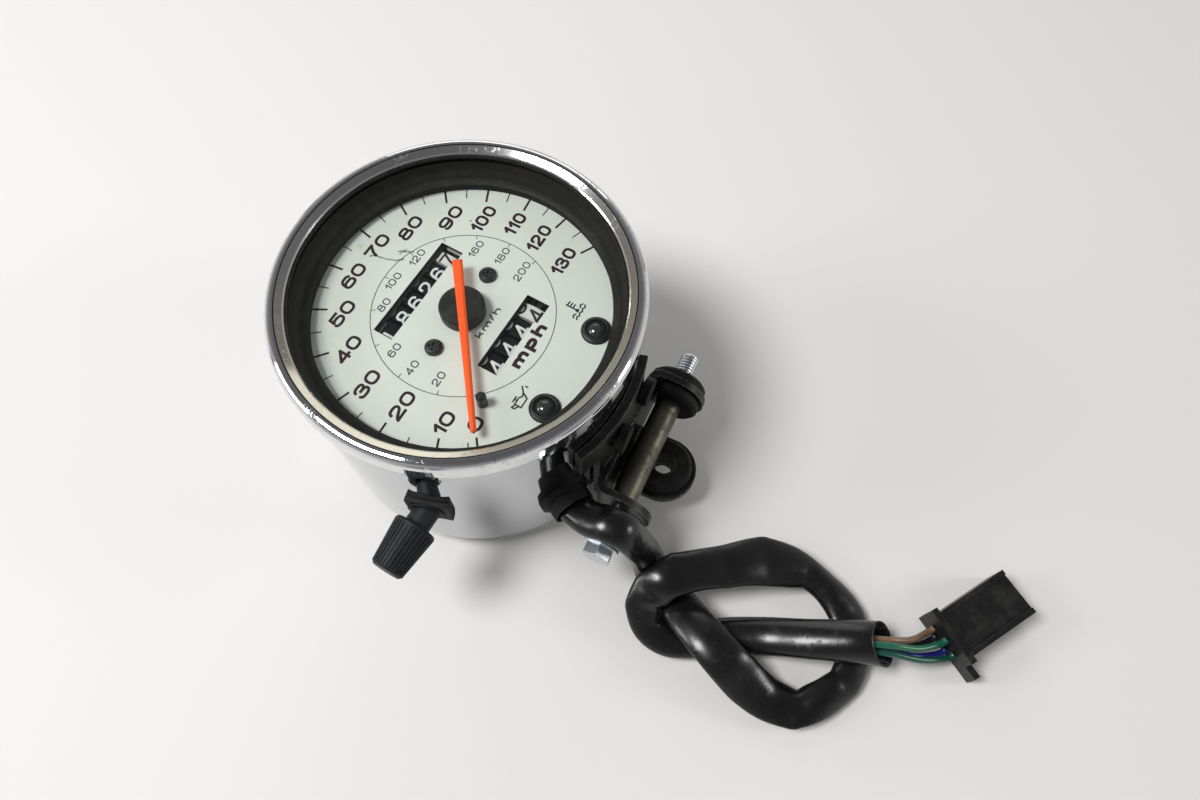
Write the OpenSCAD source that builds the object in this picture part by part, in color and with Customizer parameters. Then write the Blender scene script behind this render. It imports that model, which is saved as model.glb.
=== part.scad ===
// Motorcycle speedometer with a chrome cup, rubber-mounted bracket and knotted wiring harness.
// Millimetres. Z is the gauge axis, the cup stands on z = 0, 12 o'clock is +Y and 3 o'clock is +X.

/* [Case] */
// Outside diameter of the chrome bezel
bezel_d = 102; // [99:0.5:106]
// Height of the dial face above the resting face
dial_h = 65; // [63:0.5:70]
// Sheet thickness of the chrome cup
cup_wall = 1; // [0.8:0.1:1.3]
// Outside radius of the cup's bottom corner
cup_corner_r = 9; // [6:0.5:11]
// Narrowing of the cup's radius from its top to its foot
cup_taper = 1; // [0.5:0.1:1.5]
// Radius of the recess in the cup's bottom
recess_r = 20; // [19:0.5:24]
// Depth of the recess in the cup's bottom
recess_h = 10; // [9:0.5:11]

/* [Bezel and glass] */
// Top of the rim above the dial
rim_h = 13; // [12.6:0.1:14]
// Lower edge of the bezel's skirt above the dial
skirt_h = 6.8; // [5:0.1:8]
// Sheet thickness of the bezel's skirt
bezel_skin = 0.8; // [0.6:0.1:1]
// Width of the bright rim, seen from the front
rim_w = 5.3; // [4.5:0.1:6]
// Lower edge of the cup's collar band above the dial
collar_h = 2; // [1:0.1:3]
// Underside of the glass above the dial
glass_h = 8; // [7.5:0.1:8.4]
// Thickness of the glass
glass_t = 2.2; // [1.8:0.1:2.4]
// Thickness of the rubber ring between the glass and the bezel
seal_t = 0.8; // [0.6:0.1:1]

/* [Dial] */
// Diameter of the dial plate
dial_d = 89; // [87:0.5:91]
// Thickness of the dial plate
dial_t = 0.8; // [0.6:0.1:1]
// Diameter of dial that shows inside the shroud
sight_d = 84; // [83.5:0.1:85]
// Distance of the dial screws from the middle
dial_screw_x = 13.4; // [12.8:0.1:14]
// Distance of the two warning lamps to either side
lamp_x = 13.5; // [12:0.1:14.5]
// Distance of the warning lamps below the middle
lamp_y = 34.8; // [34:0.1:35.2]
// Outside diameter of a warning lamp's tube
lamp_d = 8.1; // [7:0.1:8.4]
// Height of a warning lamp's tube above the dial
lamp_h = 4.6; // [3:0.1:5.5]

/* [Pointer] */
// Length of the pointer from its axis to its tip
pointer_len = 38.3; // [34:0.1:40]
// Length of the pointer's tail
pointer_tail = 14.4; // [10:0.1:16]
// Width of the pointer at its tail
pointer_w = 2.9; // [2:0.1:3.2]
// Width of the pointer at its tip
pointer_tip_w = 1.6; // [1:0.1:1.9]
// Diameter of the pointer's hub
hub_d = 12.8; // [10:0.1:14]
// Height of the hub's top above the dial
hub_h = 4.5; // [3.5:0.1:4.8]
// Diameter of the pointer's staff
staff_d = 2; // [1.6:0.1:2.2]

/* [Counters] */
// Radius of a number drum
drum_r = 9.5; // [9.2:0.1:9.6]
// Spacing of the odometer's drums
odo_pitch = 5.5; // [5.2:0.1:5.6]
// Odometer window's middle above the pointer's axis
odo_y = 14.7; // [14.4:0.1:15]
// Spacing of the trip counter's drums
trip_pitch = 6.4; // [6:0.1:6.6]
// Trip window's middle below the pointer's axis
trip_y = 15.9; // [15.6:0.1:16.2]
// Diameter of the drums' shafts
drum_shaft_d = 3; // [2.4:0.1:3.4]

/* [Movement] */
// Diameter of the threaded cable boss
boss_d = 12; // [11.6:0.1:13]
// Diameter of the input spindle
spindle_d = 5; // [4.8:0.1:5.4]
// Diameter of the drive magnet
magnet_d = 24; // [20:0.5:25]
// Thickness of the drive magnet
magnet_t = 4; // [3:0.1:4.5]
// Gap between the magnet and the drag cup
air_gap = 0.9; // [0.6:0.1:1.2]
// Distance of the frame's side pillars from the middle
pillar_x = 23.5; // [23.3:0.1:26]

/* [Trip reset] */
// Diameter of the reset shaft
reset_shaft_d = 7.5; // [6.5:0.1:8]
// Length of shaft that shows between the boot and the knob
reset_reach = 5.5; // [4:0.1:9]
// Length of the reset knob
knob_len = 14.3; // [11:0.1:17]
// Diameter of the knob at its inner end
knob_d = 12.7; // [12:0.1:14]
// Diameter of the knob at its outer end
knob_tip_d = 9.8; // [9:0.1:11]
// Grip ribs round the knob
knob_ribs = 30; // [20:1:36]

/* [Bracket] */
// Sheet thickness of the bracket
plate_t = 2.3; // [2:0.1:2.6]
// Turn of the bracket about the gauge axis, in degrees
bracket_turn = 5; // [4:0.5:8]
// Width over the bracket's two ears
yoke_w = 44; // [42:0.5:46]
// Height of the bolt's axis above the resting face
bolt_z = 25; // [24.5:0.5:26]
// Distance of the bolt's axis from the bracket's web
bolt_reach = 6; // [5.5:0.1:8]
// Outside radius of the ears' rounded ends
ear_r = 10; // [8.5:0.1:10.5]
// Diameter of the mounting bolt
bolt_d = 6; // [5.8:0.1:6.2]
// Outside diameter of the collar between the ears
collar_tube_d = 8; // [7.6:0.1:8.6]
// Diameter of a rubber mount's flanges
mount_d = 18; // [16:0.5:19]
// Height of the lower tab's upper face above the resting face
tab_z = 14.3; // [13.8:0.1:14.8]
// Distance of the lower mount from the bracket's web
tab_reach = 12; // [11:0.5:14]

/* [Harness] */
// Width of the flattened sheath
sheath_w = 11; // [9:0.5:11]
// Thickness of the flattened sheath
sheath_t = 7; // [5:0.5:7]
// Diameter of one wire
wire_d = 1.8; // [1.4:0.1:2]
// Length of the connector's body
plug_len = 25; // [20:0.5:28]
// Width of the connector's body
plug_w = 15; // [13.5:0.5:17]
// Height of the connector's body
plug_h = 10.5; // [10:0.5:13]

/* [Hidden] */
$fn = 64;

// Clearances: running fit of shafts, slack of fixed fits, and room between pieces that pass each other
run_gap = 0.05;
fit_gap = 0.02;
free_gap = 0.3;

// Case radii and heights
bezel_r = bezel_d / 2;
collar_r = bezel_r - bezel_skin - 0.1;
cup_r = collar_r - 0.6;
foot_r = cup_r - cup_taper;
collar_in_r = collar_r - cup_wall;
lip_r = bezel_r - rim_w;
glass_z = dial_h + glass_h;
seal_z = glass_z + glass_t;
lip_z = seal_z + seal_t;
rim_z = dial_h + rim_h;
rim_round = 2.4;
collar_z = dial_h + collar_h;
panel_z = recess_h + cup_wall;
function cup_radius(z) = foot_r + cup_taper * (z - cup_corner_r) / (collar_z - cup_corner_r);

// Movement levels
dial_under = dial_h - dial_t;
post_h = 1.6;
top_t = 1.6;
top_z = dial_under - post_h;
top_under = top_z - top_t;
drum_room = 0.7;
drum_z = dial_under - drum_room - drum_r;
base_t = 4;
base_z = panel_z + base_t;
base_r = 18.6;
bush_wall = 1.65;
bush_r = spindle_d / 2 + bush_wall;
thrust_t = 1;
worm_z = base_z + 7.3;
magnet_z = base_z + 15;
drag_top = magnet_z + magnet_t + air_gap;
drag_t = 0.6;
drag_r = magnet_d / 2 + air_gap + drag_t;
pillar_r = 2.2;
pillar_y = 31;
pillar_side_y = -2;
pillars = [[pillar_x, pillar_side_y], [-pillar_x, pillar_side_y], [0, pillar_y]];
pillar_pad = 4.5;
arm_w = 8;

// Dial, pointer, stop and lamps; the pointer's rest and its stop are clock angles from 12 o'clock
rest_clock = -128.5;
stop_clock = -134;
stop_r = 1.4;
stop_stem_r = 0.8;
stop_back = 9.8;
stop_reach = pointer_len - stop_back;
slot_z = dial_h + hub_h - 0.7;
staff_hole_r = 2.6;
window_h = 7.2;
window_edge = 0.2;
dial_screw_y = 0.7;
dial_screw_r = 1.2;
dial_head_r = 2.5;
post_r = 3;
lamp_wall = 1.1;
lamp_drop = 13;
bulb_r = 2.4;
bulb_len = 6;
bulb_cap = 2;
socket_len = 7;
socket_skirt = 4;
socket_lip = 3;
socket_wall = 1.3;
socket_step = 1.5;

// Staff bush and hairspring
bush_collar_r = 2.8;
pivot_r = 0.6;
pivot_len = 2;
staff_collar_t = 1;
staff_collar_w = 0.7;
staff_boss_h = 2;
staff_boss_r = 2.2;
spring_turns = 3.5;
spring_in_r = 2.3;
spring_step = 0.95;
spring_t = 0.22;
spring_z = top_z + 0.4;
stud_r = spring_in_r + spring_turns * spring_step;

// Worm and wheel: the worm's thread stands out by worm_wave about its mean radius
worm_teeth = 16;
worm_m = 0.75;
worm_lead = PI * worm_m;
worm_mean_r = 1.9;
worm_wave = 0.5;
worm_len = 5;
worm_c = worm_teeth * worm_m / 2 + worm_mean_r + 0.3;
worm_shaft_r = 1.5;
worm_post_x = 8;
worm_post_t = 2.5;
worm_end = worm_post_x + worm_post_t;
wheel_tip = worm_c - worm_mean_r + worm_wave - 0.3;
wheel_root = worm_c - worm_mean_r - worm_wave - 0.4;
drive_square = 2.7;

// Counter sizes
cheek_x = 18.2;
cheek_t = 1.8;
odo_mid = -0.4;
trip_mid = 1.05;
drum_space = 0.9;
carry_t = 0.4;
ring_t = 1.1;
counter_gap = odo_y + trip_y;
ring_teeth = 20;
idler_teeth = 16;
gear_slack = 0.12;
tooth_out = 0.55;
tooth_in = 0.75;
tooth_slack = 1.2;
idler_drop = 0.6;
gear_m = (counter_gap + idler_drop - 2 * gear_slack) / (ring_teeth + idler_teeth);
idler_c = gear_m * (ring_teeth + idler_teeth) / 2 + gear_slack;
idler_y = (odo_y - trip_y) / 2;
idler_z = drum_z - sqrt(idler_c * idler_c - counter_gap * counter_gap / 4);
idler_lean = atan2(drum_z - idler_z, counter_gap / 2);
odo_ring_turn = 180 + idler_lean;
idler_turn = idler_lean + 180 / idler_teeth;
trip_ring_turn = (180 - idler_lean - idler_turn) * idler_teeth / ring_teeth - 180 / ring_teeth - idler_lean;
odo_right = odo_mid + 3 * odo_pitch - drum_space / 2;
idler_left = odo_right - ring_t + free_gap;
idler_r = 1;
carry_reach = 11.9;
carry_bar_r = 1;

// Pawl on the worm shaft's eccentric, reaching up to the odometer's toothed ring
eccentric_r = 2.2;
eccentric = 0.8;
pawl_t = 1.4;
pawl_gap = 0.4;
pawl_x = odo_right - pawl_t + 0.2;
pawl_in_r = eccentric_r + eccentric + free_gap;
pawl_out_r = pawl_in_r + 1.6;
pawl_run = [odo_y - worm_c, drum_z - worm_z];
pawl_len = norm(pawl_run) - gear_m * ring_teeth / 2 - tooth_out - pawl_gap;

// Thread relief where the boss passes through the cup
boss_relief = 0.5;

// Screws through the cup's floor and in the pillars
case_screw_x = 16.2;
case_screw_r = 1.5;
case_head_r = 2.9;
case_head_h = 2.6;
pillar_screw_r = 1.25;
pillar_screw_len = 5;
pillar_head_r = 2.4;
pillar_head_h = 1.2;

// Trip reset gears
reset_teeth = 18;
reset_m = 0.75;
reset_c = reset_teeth * reset_m + gear_slack;
reset_z = drum_z - reset_c;
reset_gear_x = -cheek_x - cheek_t - 2.6;
reset_gear_t = 2.6;
reset_tip_r = 1.9;

// Reset boot on the cup's flank
boot_pad_w = 12.5;
boot_pad_h = 11;
boot_pad_t = 1.5;
boot_rim = 0.5;
boot_sleeve_r = reset_shaft_d / 2 + 1.3;
flank_x = sqrt(pow(cup_radius(reset_z), 2) - trip_y * trip_y);
boot_turn = atan2(trip_y, flank_x);
boot_x = -flank_x - boot_pad_t;
knob_x = boot_x - reset_reach;

// Bracket in its own frame, turned about the gauge axis
saddle_r = cup_r + 0.1;
web_y = -(saddle_r + 0.4);
web_front = web_y - plate_t;
bolt_y = web_front - bolt_reach;
tab_y = web_front - tab_reach;
ear_x = yoke_w / 2;
ear_in = ear_x - plate_t;
bend_r = 1.5;
rubber_t = 3.5;
rubber_neck_r = 6.4;
bolt_hole_r = bolt_d / 2 + free_gap;
sleeve_r = bolt_d / 2 + 0.2;
collar_end = ear_in - rubber_t;
head_reach = 11;
head_x = -ear_x - head_reach;
flange_t = 1.4;
head_t = 3.6;
head_af = 8;
thread_x = ear_x + rubber_t;
thread_depth = 0.25;
thread_r = bolt_d / 2 - thread_depth;
thread_cham = 0.8;
bolt_tip_x = thread_x + 9.5;
saddle_top = 57;
saddle_h = 13;
saddle_lip = 2.7;
saddle_left = 26;
saddle_right = 15;
web_left = 18;
tab_edge = 1.5;
bracket_screw_x = 8.2;
bracket_screw_z = 46;
bracket_screw_r = 2.5;
bracket_head_r = 4.2;
bracket_head_h = 2.6;

// Harness outlet on the cup's flank and the hand-laid route of the sheath, ending at its open mouth
outlet_turn = -26;
outlet_z = 30;
outlet_reach = 6.1;
outlet_r = cup_radius(outlet_z) + outlet_reach;
outlet_pad_r = 8;
outlet_lip_h = 3;
outlet_lip_room = 0.5;
outlet_gap = 2.2;
outlet_dir = [sin(outlet_turn), -cos(outlet_turn), 0];
route = [
    (outlet_r - outlet_lip_h + outlet_gap) * outlet_dir + [0, 0, outlet_z],
    [-24.9, -55, 31.8], [-24.2, -61, 33.8], [-23.2, -67, 31.5], [-23.2, -71.5, 24], [-24.3, -75.5, 14.5],
    [-26.3, -81.5, 7.8], [-28.8, -89, 6.6], [-30.7, -95.5, 9.2], [-33.5, -102, 11.6], [-36.3, -109.5, 11.5],
    [-38.5, -118, 7.5], [-37.8, -128, 4.2], [-32, -138, 4], [-22.5, -143, 4], [-12, -142, 4],
    [-4, -135.5, 4], [0, -126, 4.5], [-1, -114.5, 6.5], [-4.5, -104, 9.5], [-11, -95, 12.8],
    [-19.5, -88, 15.8], [-29, -85, 16.8], [-38, -86, 13.2], [-44, -91.5, 8], [-45, -99, 4.4],
    [-40.5, -105, 3.8], [-33, -108.5, 3.8], [-26.5, -113, 3.8], [-21.5, -120.5, 5.5], [-17.5, -129, 9.5],
    [-13.5, -137.5, 12.2], [-9.5, -146, 11.5]
];
route_steps = 2;
sheath_sides = 12;
wire_sides = 8;

// Connector at the end of the wires, turned in plan, lying on its side on the table
plug_at = [4.5, -164];
plug_turn = -28.6;
plug_flange_t = 2;
plug_wall = 1.2;
plug_depth = 12;
pin_len = 6;
wire_gap = 0.15;
mouth_gap = 0.5;
wire_rows = [[-1.2, -2.6], [1.2, -2.6], [-2.4, 0], [2.4, 0], [0, 2.2]];
mouth = route[len(route) - 1];
mouth_before = route[len(route) - 2];
mouth_dir = (mouth - mouth_before) / norm(mouth - mouth_before);
mouth_side = cross([0, 0, 1], mouth_dir) / norm(cross([0, 0, 1], mouth_dir));

// Rod along X from x0 to x1
module rod(x0, x1, y, z, r) {
    translate([x0, y, z]) rotate([0, 90, 0]) cylinder(h = x1 - x0, r = r);
}

// Flat shape drawn in Y and Z, extruded along X from x0 to x1
module slice_x(x0, x1) {
    translate([x0, 0, 0]) rotate([90, 0, 90]) linear_extrude(x1 - x0) children();
}

// Tube from z0 to z1
module tube(z0, z1, r_out, r_in) {
    translate([0, 0, z0]) difference() {
        cylinder(h = z1 - z0, r = r_out);
        translate([0, 0, -1]) cylinder(h = z1 - z0 + 2, r = r_in);
    }
}

// Points of an arc
function arc(c, r, a0, a1, n = 8) =
    [for (i = [0:n]) c + r * [cos(a0 + (a1 - a0) * i / n), sin(a0 + (a1 - a0) * i / n)]];

// Involute gear outline
function inv_angle(rb, r) = r <= rb ? 0 : sqrt(pow(r / rb, 2) - 1) * 180 / PI - acos(rb / r);
function flank_angle(n, m, r, slack) =
    90 / n - slack + inv_angle(n * m / 2 * cos(20), n * m / 2) - inv_angle(n * m / 2 * cos(20), r);
module gear(n, m, add, ded, slack) {
    rp = n * m / 2;
    radii = [rp - ded, rp - 0.3 * ded, rp, rp + 0.5 * add, rp + add];
    polygon([for (i = [0:n - 1]) each concat(
        [for (r = radii) r * [cos(360 * i / n - flank_angle(n, m, r, slack)),
                              sin(360 * i / n - flank_angle(n, m, r, slack))]],
        [for (k = [4:-1:0]) radii[k] * [cos(360 * i / n + flank_angle(n, m, radii[k], slack)),
                                        sin(360 * i / n + flank_angle(n, m, radii[k], slack))]])]);
}

// Smooth route through the chosen points
function spline(p, i, t) =
    let (a = p[max(i - 1, 0)], b = p[i], c = p[i + 1], d = p[min(i + 2, len(p) - 1)])
    0.5 * (2 * b + (c - a) * t + (2 * a - 5 * b + 4 * c - d) * t * t + (3 * b - a - 3 * c + d) * t * t * t);
function smooth(p, n) = concat(
    [for (i = [0:len(p) - 2], k = [0:n - 1]) spline(p, i, k / n)], [p[len(p) - 1]]);

// Tube swept along points, with a level oval section w wide and h high
module swept(p, w, h, sides) {
    n = len(p);
    rings = [for (i = [0:n - 1])
        let (d = p[min(i + 1, n - 1)] - p[max(i - 1, 0)], t = d / norm(d),
             s0 = cross([0, 0, 1], t), s = s0 / norm(s0), u = cross(t, s))
        [for (k = [0:sides - 1]) p[i] + w / 2 * cos(360 * k / sides) * s + h / 2 * sin(360 * k / sides) * u]];
    walls = [for (i = [0:n - 2], k = [0:sides - 1])
        let (a = i * sides + k, b = i * sides + (k + 1) % sides)
        each [[a, a + sides, b], [b, a + sides, b + sides]]];
    polyhedron(
        points = [for (r = rings, v = r) v],
        faces = concat(walls, [[for (k = [0:sides - 1]) k]],
                       [[for (k = [sides - 1:-1:0]) (n - 1) * sides + k]]));
}

// Outside of the cup as one solid, swollen by extra, for pads that hug its flank
module flank(extra) {
    translate([0, 0, cup_corner_r])
        cylinder(h = collar_z - cup_corner_r, r1 = foot_r + extra, r2 = cup_r + extra);
}

// Case

module cup() {
    c = cup_corner_r;
    w = cup_wall;
    hole_r = boss_d / 2 + free_gap;
    outside = concat(
        [[hole_r, recess_h], [recess_r, recess_h], [recess_r + 1, 0]],
        arc([foot_r - c, c], c, -90, 0),
        [[cup_r, collar_z], [collar_r, collar_z + 0.6], [collar_r, lip_z - 0.2]]);
    inside = concat(
        [[collar_in_r, lip_z - 0.2], [collar_in_r, collar_z + 0.6 + w], [cup_r - w, collar_z]],
        arc([foot_r - c, c], c - w, 0, -90),
        [[recess_r + 1 + w, w], [recess_r + w, recess_h + w], [hole_r, recess_h + w]]);
    color("silver") difference() {
        rotate_extrude() polygon(concat(outside, inside));
        rod(-cup_r - 2, -cup_r / 2, -trip_y, reset_z, boot_sleeve_r + fit_gap);
        rotate([0, 0, outlet_turn]) translate([0, 0, outlet_z]) rotate([90, 0, 0])
            cylinder(h = cup_r + 2, r = sheath_w / 2 + 1);
        for (x = [-1, 1]) {
            translate([x * case_screw_x, 0, recess_h - 1]) cylinder(h = cup_wall + 2, r = case_screw_r + 0.2);
            in_bracket() translate([x * bracket_screw_x, 0, bracket_screw_z]) rotate([90, 0, 0])
                cylinder(h = cup_r + 2, r = bracket_screw_r + fit_gap);
        }
    }
}

module bezel() {
    inner = bezel_r - bezel_skin;
    color("gainsboro") rotate_extrude() polygon(concat(
        [[inner, dial_h + skirt_h], [bezel_r - 0.3, dial_h + skirt_h], [bezel_r, dial_h + skirt_h + 0.4]],
        arc([bezel_r - rim_round, rim_z - rim_round], rim_round, 0, 110),
        [[lip_r + 0.4, lip_z + 0.8], [lip_r, lip_z + 0.4], [lip_r, lip_z], [inner, lip_z]]));
}

module bezel_seal() {
    color("#181818") tube(seal_z, lip_z, collar_in_r - free_gap, lip_r - 0.6);
}

module glass() {
    color([0.85, 0.9, 0.92, 0.35]) translate([0, 0, glass_z])
        cylinder(h = glass_t, r = collar_in_r - free_gap);
}

module dial_shroud() {
    top_in = lip_r + 0.3;
    bottom_in = sight_d / 2;
    rim = collar_in_r - free_gap;
    color("#2b2723") rotate_extrude() polygon([
        [bottom_in, dial_h], [bottom_in + 1.2, dial_h], [top_in + 0.9, glass_z - 1.2],
        [rim, glass_z - 1.2], [rim, glass_z], [top_in, glass_z]]);
}

module dial_plate() {
    color("ivory") translate([0, 0, dial_under]) linear_extrude(dial_t) difference() {
        circle(r = dial_d / 2, $fn = 128);
        circle(r = staff_hole_r);
        for (x = [-1, 1]) {
            translate([x * dial_screw_x, dial_screw_y]) circle(r = dial_screw_r + free_gap);
            translate([x * lamp_x, -lamp_y]) circle(r = lamp_d / 2 + 0.2);
        }
        translate([odo_mid, odo_y]) square([6 * odo_pitch + window_edge, window_h], center = true);
        translate([trip_mid, -trip_y]) square([4 * trip_pitch, window_h], center = true);
        translate(stop_at()) circle(r = stop_stem_r + fit_gap);
    }
}

module dial_screws() {
    color("#101010") for (x = [-1, 1]) translate([x * dial_screw_x, dial_screw_y, dial_h]) difference() {
        union() {
            translate([0, 0, -dial_t - post_h - top_t])
                cylinder(h = dial_t + post_h + top_t, r = dial_screw_r);
            cylinder(h = 0.8, r = dial_head_r);
            translate([0, 0, 0.8]) cylinder(h = 0.6, r1 = dial_head_r, r2 = dial_head_r - 0.8);
        }
        for (a = [0, 90]) rotate([0, 0, a + 20]) translate([-1.4, -0.3, 0.7]) cube([2.8, 0.6, 2]);
    }
}

function stop_at() = stop_reach * [sin(stop_clock), cos(stop_clock)];

module stop_pin() {
    color("#141414") translate(stop_at()) {
        translate([0, 0, dial_under - 1]) cylinder(h = dial_t + 1, r = stop_stem_r);
        translate([0, 0, dial_h]) cylinder(h = hub_h, r = stop_r);
        translate([0, 0, dial_h + hub_h]) cylinder(h = 0.6, r1 = stop_r, r2 = stop_r - 0.6);
    }
}

module at_lamps() {
    for (x = [-1, 1]) translate([x * lamp_x, -lamp_y, 0]) children();
}

module lamp_tubes() {
    r = lamp_d / 2;
    color("#161616") at_lamps() rotate_extrude() polygon([
        [r - lamp_wall, dial_under - lamp_drop], [r, dial_under - lamp_drop], [r, dial_under - 1.4],
        [r + 1.2, dial_under - 1.4], [r + 1.2, dial_under], [r, dial_under], [r, dial_h + lamp_h - 0.5],
        [r - 0.5, dial_h + lamp_h], [r - lamp_wall, dial_h + lamp_h]]);
}

module lamp_lenses() {
    r = lamp_d / 2 - lamp_wall - fit_gap;
    z = dial_h + lamp_h;
    color([0.7, 0.72, 0.7, 0.6]) at_lamps() rotate_extrude()
        polygon(concat([[0, z - 2.4], [r, z - 2.4]], arc([0, z - 0.4 - r], r * sqrt(2), 45, 90)));
}

module lamp_bulbs() {
    z = dial_under - lamp_drop;
    color([0.9, 0.9, 0.85, 0.5]) at_lamps() rotate_extrude()
        polygon(concat([[0, z], [bulb_r - 0.4, z], [bulb_r, z + bulb_cap], [bulb_r, z + bulb_len]],
                       arc([0, z + bulb_len], bulb_r, 15, 90)));
}

module lamp_sockets() {
    z = dial_under - lamp_drop;
    r = lamp_d / 2;
    color("#222222") at_lamps() {
        translate([0, 0, z - socket_len]) cylinder(h = socket_len, r = r);
        tube(z - socket_skirt, z + socket_lip, r + socket_wall, r + fit_gap);
        tube(z - socket_skirt, z - socket_skirt + socket_step, r + socket_wall, r - 0.5);
    }
}

// Pointer and speed movement

module pointer_shape(grow) {
    polygon([[-pointer_tail, -pointer_w / 2 - grow], [-pointer_tail, pointer_w / 2 + grow],
             [pointer_len - 0.6, pointer_tip_w / 2 + grow], [pointer_len, 0],
             [pointer_len - 0.6, -pointer_tip_w / 2 - grow]]);
}

module pointer() {
    color("orangered") rotate([0, 0, 90 - rest_clock]) translate([0, 0, slot_z])
        linear_extrude(0.9) pointer_shape(0);
}

module pointer_hub() {
    hub_z = dial_h + 0.8;
    r = hub_d / 2;
    color("#1c1a18") difference() {
        rotate_extrude() polygon([
            [staff_d / 2 + fit_gap, hub_z], [r, hub_z], [r, dial_h + hub_h - 0.8],
            [r - 0.8, dial_h + hub_h], [staff_d / 2 + fit_gap, dial_h + hub_h]]);
        rotate([0, 0, 90 - rest_clock]) translate([0, 0, slot_z]) linear_extrude(5) pointer_shape(fit_gap);
    }
}

module pointer_staff() {
    color("silver") {
        translate([0, 0, drag_top + drag_t]) cylinder(h = slot_z - drag_top - drag_t, d = staff_d);
        translate([0, 0, drag_top - air_gap - pivot_len])
            cylinder(h = drag_t + air_gap + pivot_len, r = pivot_r);
        translate([0, 0, top_z + 0.25]) cylinder(h = staff_collar_t, r = staff_d / 2 + staff_collar_w);
        translate([0, 0, drag_top + drag_t]) cylinder(h = staff_boss_h, r = staff_boss_r);
    }
}

module drag_cup() {
    color("lightgray") difference() {
        translate([0, 0, magnet_z + 0.3]) cylinder(h = drag_top + drag_t - magnet_z - 0.3, r = drag_r);
        translate([0, 0, magnet_z - 1]) cylinder(h = drag_top - magnet_z + 1, r = drag_r - drag_t);
        translate([0, 0, drag_top - 1]) cylinder(h = 3, r = pivot_r + fit_gap);
    }
}

module staff_bush() {
    color("goldenrod") {
        tube(top_under - 1, top_z, bush_collar_r, staff_d / 2 + run_gap);
        tube(top_under - 1, top_under, bush_collar_r + 1, bush_collar_r - 0.2);
    }
}

function spiral(a, side) =
    (spring_in_r + spring_step * a / 360 + side * spring_t / 2) * [cos(a), sin(a)];
module hairspring() {
    last = spring_turns * 360;
    color("darkgoldenrod") translate([0, 0, spring_z]) linear_extrude(0.6) polygon(concat(
        [for (a = [0:20:last]) spiral(a, -1)], [for (a = [last:-20:0]) spiral(a, 1)]));
}

module movement_base() {
    color("#a8a8a0") difference() {
        union() {
            translate([0, 0, panel_z]) linear_extrude(base_t) {
                circle(r = base_r);
                translate([-pillar_x, pillar_side_y - arm_w / 2]) square([2 * pillar_x, arm_w]);
                translate([-pillar_pad, 0]) square([2 * pillar_pad, pillar_y]);
                for (p = pillars) translate(p) circle(r = pillar_pad);
            }
            cylinder(h = recess_h, d = boss_d);
            cylinder(h = panel_z + 1, d = boss_d - 2 * boss_relief);
            for (x = [-worm_end, worm_post_x]) slice_x(x, x + worm_post_t) translate([worm_c, 0]) {
                translate([-3.5, base_z - 1]) square([7, worm_z - base_z + 1]);
                translate([0, worm_z]) circle(r = 3.5);
            }
        }
        translate([0, 0, -1]) cylinder(h = base_z + 2, r = bush_r + fit_gap);
        rod(-worm_end - 1, worm_end + 1, worm_c, worm_z, worm_shaft_r + run_gap);
        for (p = pillars) translate([p.x, p.y, panel_z - 1]) cylinder(h = base_t + 2, r = 1.3);
        for (x = [-1, 1]) translate([x * case_screw_x, 0, panel_z - 1])
            cylinder(h = base_t + 2, r = case_screw_r + fit_gap);
    }
}

module spindle_bush() {
    color("peru") tube(1, base_z, bush_r, spindle_d / 2 + run_gap);
}

module input_spindle() {
    worm_bottom = worm_z - worm_len / 2;
    color("silver") difference() {
        union() {
            translate([0, 0, 2.5]) cylinder(h = base_z - 2, d = spindle_d);
            translate([0, 0, base_z + 0.2]) cylinder(h = thrust_t, r = spindle_d / 2 + 2);
            translate([0, 0, base_z + 0.5]) cylinder(h = magnet_z + magnet_t - base_z - 0.5, r = 1.38);
            translate([0, 0, worm_z + worm_len / 2 + 1.2])
                cylinder(h = magnet_z + magnet_t - worm_z - worm_len / 2 - 1.2, r = 2);
            translate([0, 0, worm_bottom])
                linear_extrude(worm_len, twist = -360 * worm_len / worm_lead, slices = 24)
                    rotate([0, 0, 270 - 360 * worm_len / 2 / worm_lead]) translate([worm_wave, 0])
                        circle(r = worm_mean_r, $fn = 12);
        }
        translate([-drive_square / 2, -drive_square / 2, 0]) cube([drive_square, drive_square, 11]);
        translate([0, 0, drag_top - air_gap - pivot_len - free_gap])
            cylinder(h = pivot_len + 1, r = pivot_r + run_gap);
    }
}

module drive_magnet() {
    color("#3a3a3e") tube(magnet_z, magnet_z + magnet_t, magnet_d / 2, 2 + fit_gap);
}

module worm_shaft() {
    tip_half = 0.17;
    root_half = 0.5;
    color("silver") {
        rod(-worm_end - 2, pawl_x + pawl_t, worm_c, worm_z, worm_shaft_r);
        rod(-worm_end - 2, -worm_end - run_gap, worm_c, worm_z, worm_shaft_r + 0.8);
        rod(worm_end + run_gap, worm_end + 1.5, worm_c, worm_z, worm_shaft_r + 0.8);
        translate([0, 0, worm_z]) slice_x(-0.8, 0.8) translate([worm_c, 0]) {
            circle(r = wheel_root);
            for (i = [0:worm_teeth - 1]) rotate(180 + 360 * i / worm_teeth)
                polygon([[wheel_root - 0.5, -root_half], [wheel_tip, -tip_half],
                         [wheel_tip, tip_half], [wheel_root - 0.5, root_half]]);
        }
        rod(pawl_x - 0.2, pawl_x + pawl_t, worm_c, worm_z + eccentric, eccentric_r);
    }
}

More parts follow.
